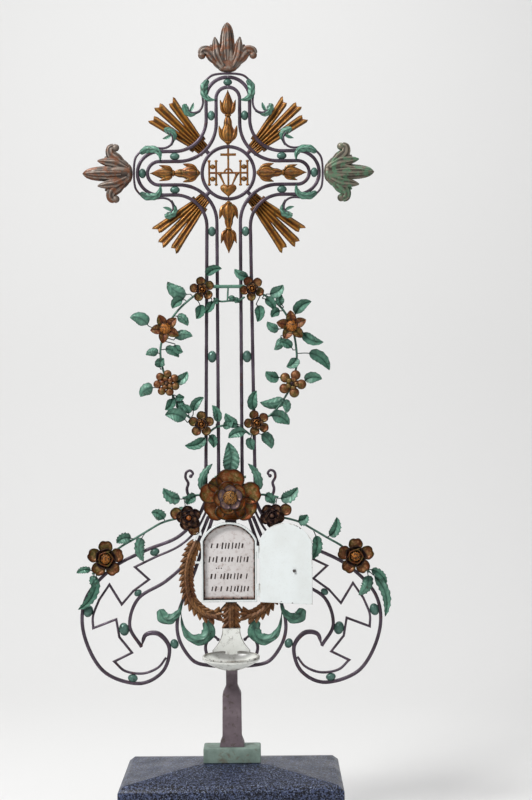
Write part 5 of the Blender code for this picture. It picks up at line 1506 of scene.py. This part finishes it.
@dataclass(frozen=True)
class Flower:
    """One flower, drawn about its own middle and then put in its place.

    Attributes:
        node: the CAD node that it stands for.
        x: its place in millimetres.
        y: its place in millimetres.
        radius: its radius in millimetres.
        bloom: its kind.
        turn: its turn in degrees.
        depth: how far it stands out, in millimetres.
        lobes: domes of its outer ring, where it has domes.
    """

    node: str
    x: float
    y: float
    radius: float
    bloom: Bloom
    turn: float = 0.0
    depth: float = FLOWER_DEPTH
    lobes: int = 5

    def spoon(self, along: float, across: float, middle: float, low: float, rise: float, at: float,
              part: float = 0.0, notch: float = 0.0) -> Surface:
        """One round hollow petal in millimetres: ellipses from its back over a rim into the hollow.

        Args:
            along: half its length.
            across: half its width.
            middle: distance of its middle from the flower's middle.
            low: height of its back.
            rise: how far its rim rises.
            at: its direction in degrees, 90 being up.
            part: its place in the part mask.
            notch: how deep its outer edge is notched, as a share of its size.

        Returns:
            The petal's surface.
        """
        turn = circle(44)
        bend = (turn + math.pi) % math.tau - math.pi
        edge = 1 - notch * np.exp(-(bend / 0.28) ** 2) + 0.02 * np.cos(5 * turn + self.x)
        size = np.array([0.40, 0.85, 0.97, 1.0, 0.93, 0.80, 0.55, 0.25])
        high = np.array([0.0, 0.2, 0.75, 1.0, 1.1, 0.65, 0.38, 0.46])
        x = size[:, None] * (along * np.cos(turn) * edge)
        rings = np.stack([middle + x, size[:, None] * (across * np.sin(turn) * edge),
                          low + rise * high[:, None] + PETAL_LEAN * (x + along)], axis=2) * MM
        # Painted shade on the petal's back, outer slope and rim, painted highlight in its hollow.
        tone = by_ring([0.1, 0.1, 0.12, 0.05, 0.2, 0.62, 0.86, 0.75], 44)
        return loft(rings, tone).as_part(part).turned(math.radians(at))

    def pointed(self) -> list[Surface]:
        """Five pointed petals: a blade that rises by 5 + 3 t ** 1.6 + 4 sin(pi t) mm, five times."""
        t = shares(30)
        start = 0.22 * self.radius
        spine = np.stack([(start + (self.radius - start) * t) * MM, np.zeros(30)], axis=1)
        rise = (5 + 3 * t ** 1.6 + 4 * np.sin(math.pi * t)) * MM
        blade = Blade(0.66 * self.radius * MM, Outline.BROAD, 1.8 * MM, 0.60, 0, 0.0, 4, 0.00025, -0.0006)
        first = blade.along(spine, rise, 0.0, 24, 13).as_part(0.0)
        return [first.turned(math.tau * k / 5 + math.radians(90)) for k in range(5)]

    def surface(self) -> Surface:
        """The whole flower at the drawing's origin, its back at h 0."""
        r = self.radius
        parts = [ball(0.0, 0.0, 0.0035, 0.42 * r * MM, 0.42 * r * MM, 0.0034)]
        fifths = [90 + 72 * k for k in range(5)]
        if self.bloom is Bloom.CUPPED:
            parts += [self.spoon(0.36 * r, 0.37 * r, 0.64 * r, 4, 6, at) for at in fifths]
            parts += [self.spoon(0.20 * r, 0.24 * r, 0.30 * r, 9, 3.5, at + 36, 0.5) for at in fifths]
            parts.append(self.cup(0.25 * r, 8, 15, 0.85))
            parts.append(ball(0, 0, 0.0135, 0.11 * r * MM, 0.11 * r * MM, 0.0030).as_part(1.0))
        elif self.bloom is Bloom.SEEDED:
            parts += self.pointed()
            parts.append(self.cup(0.40 * r, 4, 9, 0.5))
            parts.append(seeds(0.38 * r * MM, 0.0065, 0.0075))
        elif self.bloom is Bloom.BERRY:
            for count, ring, size, high, part in ((self.lobes, 0.66, 2.05 / self.lobes, 7.0, 0.0),
                                                  (5, 0.30, 0.19, 12, 0.2), (1, 0.0, 0.16, 14.5, 0.5)):
                for k in range(count):
                    angle = math.tau * k / count + 0.3
                    bead = min(size, 0.36) * r * MM
                    parts.append(ball(ring * r * MM * math.cos(angle), ring * r * MM * math.sin(angle), high * MM,
                                      bead, bead, bead * 0.75).as_part(part))
        elif self.bloom is Bloom.ROSE:
            for at, along, across, middle in ((-90, 22, 36, 32), (-36, 25, 28, 44), (-144, 25, 28, 44),
                                              (12, 27, 26, 46), (138, 18, 18, 44), (168, 25, 23, 48),
                                              (90, 28, 33, 40)):
                parts.append(self.spoon(along, across, middle, 10 + at / 40, 9, at, 0.0, 0.16))
            parts += [self.spoon(15, 19, 24, 22, 7, at + 20, 0.1) for at in fifths]
            parts += [self.spoon(11, 14, 18, 27, 5, at, 0.5) for at in fifths]
            parts.append(ball(0, 0, 0.016, 0.032, 0.030, 0.0125).as_part(0.5))
            parts.append(seeds(0.0170, 0.009, 0.0290, 80))
        elif self.bloom is Bloom.NEST:
            parts += [self.spoon(0.40 * r, 0.46 * r, 0.60 * r, 5, 8, at) for at in fifths]
            parts += [self.spoon(0.30 * r, 0.36 * r, 0.36 * r, 11, 6, at + 36, 0.1) for at in fifths]
            parts.append(self.cup(0.34 * r, 8, 20, 0.5))
            parts.append(ball(0, 0, 0.0165, 0.20 * r * MM, 0.20 * r * MM, 0.0050).as_part(1.0 if self.x < 0 else 0.4))
        else:
            parts += [self.spoon(0.35 * r, 0.38 * r, 0.65 * r, 5, 7, at, 0.0, 0.14) for at in fifths]
            parts.append(self.cup(0.56 * r, 6, 13, 0.5))
            parts.append(self.cup(0.38 * r, 8, 16, 0.1))
            parts.append(seeds(0.27 * r * MM, 0.0065, 0.0120, 40))
        return Surface.merged(parts).scaled(h=1.0 if self.bloom is Bloom.ROSE else self.depth / FLOWER_DEPTH)

    def cup(self, radius: float, low: float, high: float, part: float) -> Surface:
        """A round cup with a waved rim: an outer and an inner wall turned about the axis."""
        turn = circle(60)
        wave = 1 + 0.05 * np.cos(5 * turn)
        steps = ((0.55, low), (0.86, low + 0.25 * (high - low)), (0.98, low + 0.7 * (high - low)), (1.0, high),
                 (0.93, high + 0.3), (0.84, high - 1.0),
                 (0.78, low + 0.6 * (high - low)), (0.55, low + 0.45 * (high - low)))
        rim = [radius * MM * s * wave for s, _ in steps]
        rings = [(np.column_stack([r * np.cos(turn), r * np.sin(turn)]), h * MM) for r, (_, h) in zip(rim, steps)]
        # Painted shade down the inner wall, lighter towards the rim.
        return loft(stacked(rings), by_ring([0.3, 0.45, 0.5, 0.6, 0.62, 0.4, 0.15, 0.1], 60)).as_part(part)

    def dress(self, finish: Parted, name: str, h: float) -> None:
        """Put the flower in its place.

        Args:
            finish: its finish.
            name: the object's name.
            h: height of its back.
        """
        shape = self.surface()
        shape = shape.turned(math.radians(self.turn)).moved(self.x * MM, self.y * MM, h)
        ship(shape, name, finish, [self.node])


# ---------------------------------------------------------------- foliage
LeafPlace = tuple[float, float, float, float, float]


def leafy(stem: Array, leaves: Sequence[LeafPlace], width: float, seed: int, teeth: int = 0) -> Surface:
    """A round stem with leaves that spring from it.

    Args:
        stem: the stem's path.
        leaves: for each leaf the root, the tip and the width, in millimetres.
        width: the stem's width.
        seed: varies how the leaves bend.
        teeth: teeth along each leaf's edge.

    Returns:
        The spray's surface.
    """
    rng = np.random.default_rng(seed)
    parts = [sweep(stem, ROUND, width, width, SPRAY_H).as_part(0.45)]
    for x0, y0, x1, y1, wide in leaves:
        root, tip = np.array([x0, y0]) * MM, np.array([x1, y1]) * MM
        near = nearest(stem, root)
        body = bent(root, tip, 0.36 * (1 if rng.random() < 0.6 else -1))
        gap = np.linalg.norm(root - near)
        path = np.vstack([near, body]) if gap > 0.002 else body
        stalk = float(gap / (gap + np.linalg.norm(tip - root)))
        t = shares(len(path))
        arch = (0.003 + 0.006 * rng.random()) * np.sin(2.6 * t)
        rise = SPRAY_H + 0.0012 + arch - (0.004 * rng.random()) * t ** 3
        blade = Blade(wide * 1.26 * MM, Outline.BROAD, 0.0016, float(rng.choice([-0.6, 0.55, 0.8])), teeth or 5,
                      0.26 if teeth else 0.10, 4 + int(rng.integers(0, 3)), 0.0008, -0.0016)
        parts.append(blade.along(path, rise, 0.18 + 0.72 * stalk))
    return Surface.merged(parts)


@dataclass
class Wreath:
    """The wreath of leaves and flowers that hangs on the cross.

    Attributes:
        left_stem: the stem on the left, from its upper end.
        right_stem: the stem on the right, from its upper end.
        left_leaves: leaves of the left stem.
        right_leaves: leaves of the right stem.
        top_leaves: leaves on the rail's twig.
        bottom_leaves: leaves on the lower twig.
        flowers: the eight flowers.
    """

    left_stem: Points = ((-50, 1087), (-84, 1066), (-120, 1033), (-145, 994), (-158, 950), (-155, 910), (-142, 869),
                           (-120, 820), (-94, 791), (-58, 775))
    right_stem: Points = ((44, 1087), (84, 1068), (120, 1040), (143, 998), (153, 950), (153, 905), (141, 862),
                            (118, 822), (92, 794), (56, 777))
    left_leaves: Sequence[LeafPlace] = (
        (-54, 1110, -16, 1131, 18), (-88, 1073, -141, 1102, 27), (-101, 1060, -130, 1040, 20),
        (-69, 1053, -76, 1016, 20), (-40, 1062, -58, 1030, 16), (-127, 1023, -95, 1000, 18),
        (-185, 1000, -228, 1020, 26), (-128, 968, -84, 976, 20), (-125, 959, -106, 940, 17),
        (-154, 946, -116, 928, 18), (-157, 935, -192, 934, 17), (-158, 901, -150, 926, 20),
        (-129, 872, -97, 896, 20), (-171, 859, -205, 838, 24), (-132, 842, -149, 808, 18),
        (-124, 833, -115, 798, 18), (-126, 842, -104, 838, 15), (-97, 778, -149, 796, 27),
        (-94, 794, -110, 818, 17), (-84, 797, -59, 836, 18))
    right_leaves: Sequence[LeafPlace] = (
        (51, 1112, 13, 1130, 18), (86, 1072, 124, 1093, 22), (62, 1049, 64, 1008, 20), (76, 1062, 104, 1034, 18),
        (125, 1042, 119, 1074, 17), (121, 1033, 97, 1018, 18), (150, 1018, 189, 1054, 22), (165, 991, 216, 961, 20),
        (118, 992, 87, 1009, 18), (118, 976, 102, 944, 17), (146, 943, 109, 960, 18), (156, 933, 130, 905, 20),
        (170, 936, 229, 896, 23), (117, 881, 83, 895, 22), (168, 868, 212, 876, 22), (133, 842, 69, 824, 22),
        (120, 833, 128, 798, 17), (87, 791, 136, 772, 26), (60, 800, 62, 851, 20))
    top_leaves: Sequence[LeafPlace] = ((-20, 1056, -36, 1050, 12), (0, 1057, 14, 1064, 12), (8, 1057, 24, 1052, 12))
    bottom_leaves: Sequence[LeafPlace] = (
        (26, 772, -10, 800, 20), (-32, 772, -41, 818, 17), (-22, 770, 6, 786, 16), (-52, 752, -104, 726, 20),
        (-52, 752, -38, 720, 18), (44, 752, -4, 742, 20), (50, 748, 55, 715, 18), (66, 752, 95, 717, 22))
    flowers: Sequence[Flower] = (
        Flower("wreath_flower_1", -61, 1083, 29, Bloom.CUPPED, 10),
        Flower("wreath_flower_2", 53, 1084, 29, Bloom.CUPPED, 30),
        Flower("wreath_flower_3", 143, 998, 36, Bloom.SEEDED, 5),
        Flower("wreath_flower_4", 143, 866, 32, Bloom.BERRY, 50),
        Flower("wreath_flower_5", 62, 777, 30, Bloom.CUPPED, 20),
        Flower("wreath_flower_6", -65, 775, 30, Bloom.CUPPED, 0),
        Flower("wreath_flower_7", -144, 869, 32, Bloom.BERRY, 15, lobes=7),
        Flower("wreath_flower_8", -146, 994, 35, Bloom.SEEDED, 25))

    def dress(self) -> None:
        """Build stems, leaves and flowers."""
        width = 0.0050
        for side, stem, leaves, seed in (("left", self.left_stem, self.left_leaves, 3),
                                         ("right", self.right_stem, self.right_leaves, 8)):
            ship(leafy(smooth(stem, 6), leaves, width, seed=seed), f"foliage_{side}", VERDIGRIS,
                 [f"wreath_stem_{side}"])
        twig = smooth([(-36, 1064), (-20, 1056), (0, 1057), (22, 1058), (36, 1066)])
        rail = straight([(-42, 1090), (36, 1090)])
        link = straight([(-2, 1090), (-4, 1056)])
        top = [leafy(twig, self.top_leaves, 0.0045, seed=5), sweep(rail, FLAT_BAR, 0.008, 0.007, SPRAY_H),
               sweep(link, ROUND, 0.004, 0.004, SPRAY_H)]
        ship(Surface.merged(top), "foliage_rail", VERDIGRIS, ["wreath_rail_top"])
        twig = smooth([(-52, 752), (-30, 768), (0, 771), (24, 766), (46, 750)])
        ship(leafy(twig, self.bottom_leaves, width, seed=6), "foliage_bottom", VERDIGRIS, ["wreath_twig_bottom"])
        for i, flower in enumerate(self.flowers):
            flower.dress(BRONZE_GOLD, f"bloom_{i + 1}", FLOWER_H)


@dataclass
class BaseFlowers:
    """Roses, branches and leaves of the base.

    Attributes:
        branch: the left branch, from the side rose outwards; the right one mirrors it.
        left_leaves: leaves of the left branch.
        right_leaves: leaves of the right branch.
        roses: each flower with its finish and the height of its back.
    """

    branch: Points = ((-90, 564), (-130, 557), (-160, 548), (-190, 531), (-222, 512), (-256, 492), (-292, 462),
                        (-318, 432))
    left_leaves: Sequence[LeafPlace] = (
        (-150, 552, -182, 573, 24), (-222, 512, -262, 503, 24), (-196, 526, -200, 460, 22),
        (-310, 440, -352, 351, 21), (-314, 438, -354, 435, 15), (-312, 436, -302, 398, 20))
    right_leaves: Sequence[LeafPlace] = (
        (150, 552, 176, 566, 24), (218, 512, 243, 560, 22), (190, 528, 182, 462, 22),
        (310, 440, 356, 404, 18), (314, 436, 352, 330, 20), (312, 436, 292, 380, 24))
    roses: Sequence[tuple[Flower, Parted, float]] = (
        (Flower("rose_middle", 0, 607, 72, Bloom.ROSE), BRONZE_ROSE, BAR_FRONT),
        (Flower("rose_left", -95, 561, 29, Bloom.NEST, 10), BRONZE_DARK, FLOWER_H),
        (Flower("rose_right", 95, 565, 29, Bloom.NEST, 40), BRONZE_DARK, FLOWER_H),
        (Flower("base_flower_left", -285, 469, 43, Bloom.LOBED, 0, 26), BRONZE_GOLD, FLOWER_H),
        (Flower("base_flower_right", 285, 471, 43, Bloom.LOBED, 0, 26), BRONZE_GOLD, FLOWER_H))

    def spray(self) -> Surface:
        """Leaves on the left of the middle rose, with a round one beside its lower edge."""
        stem = smooth([(-51, 606), (-74, 612), (-110, 606)])
        return leafy(stem, [(-106, 604, -154, 629, 26), (-72, 611, -100, 590, 22), (-60, 607, -40, 684, 18),
                            (-104, 590, -128, 566, 22)], 0.005, teeth=6, seed=2)

    def curl(self) -> Surface:
        """The iron S-curl on the left of the middle rose, with scrolled ends."""
        path = smooth([(-87, 607), (-97, 613), (-100, 626), (-97, 639), (-103, 652), (-101, 664), (-92, 668),
                       (-86, 661), (-91, 655)])
        size = 0.0072 * (1.0 - 0.25 * shares(len(path)))
        ends = [ball(path[k, 0], path[k, 1], 0.004, 0.0044, 0.0044, 0.0044) for k in (0, -1)]
        return Surface.merged([sweep(path, ROUND, size, size, 0.004)] + ends)

    def dress(self) -> None:
        """Build the base's flowers and foliage."""
        for flower, finish, h in self.roses:
            flower.dress(finish, f"bloom_{flower.node}", h)
        for side, places in (("left", ((-124, 571), (-84, 535))), ("right", ((126, 578),))):
            loose = [self.roses[3][0].spoon(14, 14, 0, 2, 6, 0).moved(x * MM, y * MM, FLOWER_H) for x, y in places]
            ship(Surface.merged(loose), f"petals_{side}", BRONZE_GOLD, [])
        left = smooth(self.branch, 6)
        right = left * (-1.0, 1.0)
        for side, stem, leaves, seed in (("left", left, self.left_leaves, 4), ("right", right, self.right_leaves, 9)):
            ship(leafy(stem, leaves, 0.0050, teeth=7, seed=seed), f"branch_{side}", VERDIGRIS,
                 [f"leaf_branch_{side}"])
        ship_pair(self.spray(), "spray_rose", VERDIGRIS, "rose_spray")
        ship_pair(self.curl(), "curl_rose", BARS, "")
        spine = smooth([(0, 646), (0, 668), (3, 700), (-4, 733)])
        rise = SPRAY_H + 0.004 * shares(len(spine))
        broad = Blade(0.040, Outline.BROAD, 0.0020, 0.40, 11, 0.08, 6, 0.0009, -0.0016)
        strip = sweep(straight([(-36, 653), (36, 653)]), FLAT_BAR, 0.006, 0.0065, SPRAY_H)
        ship(Surface.merged([broad.along(spine, rise, 0.22, 60, 17), strip]), "leaf_broad", VERDIGRIS,
             ["rose_leaf_broad"])


@dataclass
class LaurelGarland:
    """Overlapping laurel leaves along the strings, swags and drop round the case.

    Attributes:
        leaf: length of a leaf.
        pitch: distance between two threes of leaves.
        wide: width of the strings.
        drop: width of the drop under the case.
    """

    leaf: float = 0.023
    pitch: float = 0.0130
    wide: float = 0.028
    drop: float = 0.034

    def string(self, path: Array, width: float) -> Surface:
        """Leaves in threes along a path: one to each side and one on top, pointing along it.

        Args:
            path: the string's path.
            width: full width of the string.

        Returns:
            The string's surface.
        """
        run = run_along(path)
        count = max(2, int((run[-1] - self.leaf * 0.6) / self.pitch))
        blade = Blade(width * 0.47, Outline.BROAD, 0.0022, -0.6, 0, 0.0, 4, 0.0005, 0.0012)
        # The core string is painted dark by its part mask: painted shade between the leaves.
        parts = [sweep(path, ROUND, width * 0.25, 0.007, GARLAND_H - 0.003).as_part(0.6)]
        for k in range(count):
            at = k * self.pitch
            here = at_run(path, run, at)
            ahead = at_run(path, run, at + 0.004) - here
            ahead /= np.linalg.norm(ahead)
            side = np.array([-ahead[1], ahead[0]])
            for lean, high in ((-1.0, 0.0), (1.0, 0.0), (0.0, 0.0032)):
                root = here + side * lean * width * 0.08
                tip = root + ahead * self.leaf * (0.80 if lean else 1.0) + side * lean * width * 0.56
                rise = GARLAND_H + high + 0.0058 * shares(BEND_POINTS)
                parts.append(blade.along(bent(root, tip, -0.16 * lean), rise, 0.0, 14, 9))
        return Surface.merged(parts)

    def dress(self) -> None:
        """Build the garland, its leaves kept clear of the case."""
        left = smooth([(-78, 508), (-93, 475), (-101, 438), (-100, 402), (-93, 374), (-75, 351), (-52, 337),
                       (-33, 338), (-12, 360)], 8)
        drop = smooth([(0, 365), (0, 330), (0, 299)], 8)
        string = self.string(left, self.wide)
        garland = Surface.merged([string, string.mirrored(), self.string(drop, self.drop)])
        ship(garland, "laurel", LAUREL, ["laurel_garland"])


@dataclass
class InscriptionCase:
    """The white case, the plate in it and the cover that stands open.

    Attributes:
        half: half the case's width.
        middle: its middle in the drawing.
        bottom: height of its lower edge.
        height: its height.
        rise: rise of its arched top.
        back: height of its back.
        depth: its depth.
        wall: thickness of its walls.
    """

    half: float = 0.0635
    middle: float = -0.004
    bottom: float = 0.368
    height: float = 0.182
    rise: float = 0.041
    back: float = 0.0053
    depth: float = 0.020
    wall: float = 0.0042

    @property
    def hinge(self) -> tuple[float, float]:
        """Place of the hinge's axis as (x, h)."""
        return self.middle + self.half + 0.0029, self.back + self.depth + 0.00185

    def shell(self) -> Surface:
        """The case: rings go up the outside, over a round lip and down the inside to the floor."""
        front = self.back + self.depth
        outer = outline_ring(self.half, self.bottom, self.height, self.rise, self.middle)
        inner = outline_ring(self.half - self.wall, self.bottom + self.wall, self.height - 2 * self.wall,
                             self.rise - self.wall / 2, self.middle)
        levels = [(outer, self.back + 0.0006), (outer, front - 0.0010), (outer * 0.8 + inner * 0.2, front - 0.0002),
                  (outer * 0.5 + inner * 0.5, front), (outer * 0.2 + inner * 0.8, front - 0.0002),
                  (inner, front - 0.0010), (inner, self.back + 0.004)]
        shell = loft(stacked(levels), by_ring([0.7, 0.5, 0.3, 0.6, 0.3, 0.6, 0.4], len(outer)))
        # Painted shade: the inner wall darkens towards the plate, in the recess between case and plate.
        shell.part[-len(outer) - 2:] = 1.0
        return shell

    def fittings(self) -> Surface:
        """Knuckles and lugs of the hinge, the latch bar and the ear."""
        x, h = self.hinge
        edge = self.middle - self.half
        front = self.back + self.depth
        parts = []
        for low in KNUCKLE_PLACES:
            y = self.bottom + low + 0.0143
            parts.append(rod((x, y, h), (x, y + KNUCKLE_LENGTH, h), KNUCKLE_RADIUS))
            tab = Stonework.oblong([(0.0044, 0.003, y), (0.0044, 0.003, y + KNUCKLE_LENGTH)], 0.0006)
            parts.append(tab.moved(x - 0.0022, h=h - 0.0030))
        ear = smooth([(edge / MM + x_mm, y_mm) for x_mm, y_mm in ((1, 525), (-6, 524), (-12, 518), (-16, 508))])
        parts.append(sweep(ear, FLAT_BAR, 0.010 * (1 - 0.6 * shares(len(ear))), 0.003, front - 0.0035))
        latch = straight([(edge / MM + 1, 458.5), (edge / MM - 12, 458.5)])
        parts.append(sweep(latch, FLAT_BAR, 0.005, 0.003, front - 0.0045))
        return Surface.merged(parts)

    def plate(self) -> tuple[Surface, Surface]:
        """The plate and the rows of short strokes on it, which are no letters."""
        fit = self.wall + 0.0014
        low = self.back + 0.0043
        outline = outline_ring(self.half - fit, self.bottom + fit, self.height - 2 * fit, self.rise - self.wall / 2,
                               self.middle)
        face = low + 0.003
        rng = np.random.default_rng(STROKE_SEED)
        strokes = []
        for y, left, right in ((0.4956, -41, 40), (0.4644, -46, 46), (0.4257, -42, 40), (0.3970, -40, 44)):
            x = left * MM
            while x < right * MM:
                tall = 0.0100 + 0.0050 * rng.random()
                path = np.array([[x, y - tall / 2], [x + 0.0022, y + tall / 2]]) + (self.middle, 0.0)
                strokes.append(sweep(path, FLAT_BAR, 0.0026 + 0.0016 * rng.random(), 0.0006, face))
                x += 0.0066 + 0.0024 * rng.random() + (0.005 if rng.random() < 0.16 else 0.0)
        for x in (-0.033, -0.028, -0.022):
            strokes.append(ball(x, 0.444, face, 0.0014, 0.0014, 0.0005))
        return slab(outline, low, face, 0.0008), Surface.merged(strokes)

    def cover(self) -> Surface:
        """The cover, drawn shut and swung open: arched, with a raised edge, knuckles and knob."""
        x, h = self.hinge
        reach = 0.0032
        width = 2 * self.half + 0.0029 - reach
        middle = x - reach - width / 2
        outline = outline_ring(width / 2, self.bottom, self.height, self.rise, middle)
        parts = [slab(outline, h - 0.00125, h + 0.00125, 0.0006)]
        rim = outline_ring(width / 2 - 0.0022, self.bottom + 0.0022, self.height - 0.0044, self.rise - 0.0011, middle)
        parts.append(sweep(rim[::-1], ROUND, 0.0030, 0.0030, h + 0.0008, closed=True))
        for low in KNUCKLE_PLACES:
            y = self.bottom + low
            parts.append(rod((x, y, h), (x, y + KNUCKLE_LENGTH, h), KNUCKLE_RADIUS))
            parts.append(Stonework.oblong([(0.0050, 0.0022, y + 0.0004), (0.0050, 0.0022, y + 0.0136)], 0.0005)
                         .moved(x - 0.0025, h=h))
        knob_x, knob_y = x - reach + 0.0032 - width * 0.70, self.bottom + self.height * 0.41
        parts.append(rod((knob_x, knob_y, h - 0.0068), (knob_x, knob_y, h + 0.0068), 0.0034, 24).as_part(1.0))
        return Surface.merged(parts).spun(-COVER_OPEN, 0, 2, (x, h))

    def dress(self) -> None:
        """Build the case, the plate with its strokes and the cover."""
        shell = Surface.merged([self.shell(), self.fittings()])
        ship(shell, "case_shell", WHITE, ["inscription_case"])
        plate, strokes = self.plate()
        ship(plate, "plate_face", PLATE, ["inscription_plate"])
        ship(strokes, "plate_strokes", STROKES, [])
        ship(self.cover(), "cover_leaf", WHITE, ["case_cover"], "cover")


# ---------------------------------------------------------------- studio
@dataclass
class Studio:
    """A plain pale floor that curves up behind, soft light and the camera.

    Attributes:
        distance: the camera's distance from the cross.
        eye: height of the camera.
        side: how far the camera stands to the right of the axis.
        tall: height of the picture at the cross.
        roll: how far the camera is rolled, as the photo is.
        glow: how strongly the floor shines by itself.
        sky: strength of the even light from all sides.
    """

    distance: float = 3.4
    eye: float = 1.009
    side: float = 0.083
    tall: float = 1.840
    roll: float = math.radians(0.4)
    glow: float = 0.19
    sky: float = 0.26

    def backdrop(self) -> None:
        """A floor, a quarter round and a wall behind, as one sheet."""
        turn = np.linspace(0.0, math.pi / 2, 16)
        y = np.concatenate([[-7.0, -3.0], 1.6 + 1.2 * np.sin(turn), [2.8]])
        z = np.concatenate([[0.0, 0.0], 1.2 - 1.2 * np.cos(turn), [6.0]])
        x = np.array([-6.0, 6.0])
        points = np.stack([np.broadcast_to(x[:, None], (2, len(y))), np.broadcast_to(y, (2, len(y))),
                           np.broadcast_to(z, (2, len(z)))], axis=2).reshape(-1, 3)
        k = np.arange(len(y) - 1)
        faces = np.stack([k, k + len(y), k + len(y) + 1, k + 1], axis=1)
        mesh = bpy.data.meshes.new("studio_floor")
        mesh.from_pydata(points.tolist(), [], faces.tolist())
        mesh.shade_smooth()
        g = Graph("floor_paper")
        g.put("Base Color", srgb(214, 214, 212))
        g.put("Roughness", 0.9)
        g.put("Emission Color", srgb(214, 210, 212))
        g.put("Emission Strength", self.glow)
        mesh.materials.append(g.material)
        floor = bpy.data.objects.new("studio_floor", mesh)
        bpy.context.scene.collection.objects.link(floor)

    def light(self, name: str, place: tuple[float, float, float], size: float, power: float) -> None:
        """A soft square light that looks at the middle of the cross."""
        data = bpy.data.lights.new(name, "AREA")
        data.size = size
        data.energy = power
        ob = bpy.data.objects.new(name, data)
        ob.location = place
        aim = Vector((0.0, 0.0, 1.0)) - ob.location
        ob.rotation_euler = aim.to_track_quat("-Z", "Y").to_euler()
        bpy.context.scene.collection.objects.link(ob)

    def dress(self) -> None:
        """Set up the backdrop, the lights, the world and the camera."""
        self.backdrop()
        self.light("key", (-2.0, -2.2, 3.6), 1.0, 150.0)
        self.light("fill", (2.8, -2.6, 1.6), 2.4, 14.0)
        self.light("top", (0.3, 0.4, 4.2), 2.2, 60.0)
        world = bpy.data.worlds.new("studio")
        world.use_nodes = True
        sky = world.node_tree.nodes["Background"].inputs
        sky["Color"].default_value = (0.92, 0.95, 1.0, 1.0)
        sky["Strength"].default_value = self.sky
        bpy.context.scene.world = world
        bpy.context.scene.view_settings.view_transform = "Standard"
        data = bpy.data.cameras.new("camera")
        data.sensor_fit = "VERTICAL"
        data.sensor_height = SENSOR
        data.lens = SENSOR * self.distance / self.tall
        camera = bpy.data.objects.new("camera", data)
        camera.location = (self.side, -self.distance, self.eye)
        camera.rotation_euler = (math.pi / 2, self.roll, 0.0)
        bpy.context.scene.collection.objects.link(camera)
        bpy.context.scene.camera = camera


def main() -> None:
    """Load the frame and build every sub-assembly in order."""
    logging.basicConfig(level=logging.INFO, format="%(message)s")
    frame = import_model()
    LOG.info("frame with %d nodes", len(frame["nodes"]))
    for assembly in (Stonework(), Post(), HolyWaterBowl(), CrossBars(), BaseScrolls(), Medallion(), BudSprays(),
                     RayBundles(), ArmEnds(), Wreath(), BaseFlowers(), LaurelGarland(), InscriptionCase(), Studio()):
        LOG.info("building %s", type(assembly).__name__)
        assembly.dress()


if __name__ == "__main__":
    main()
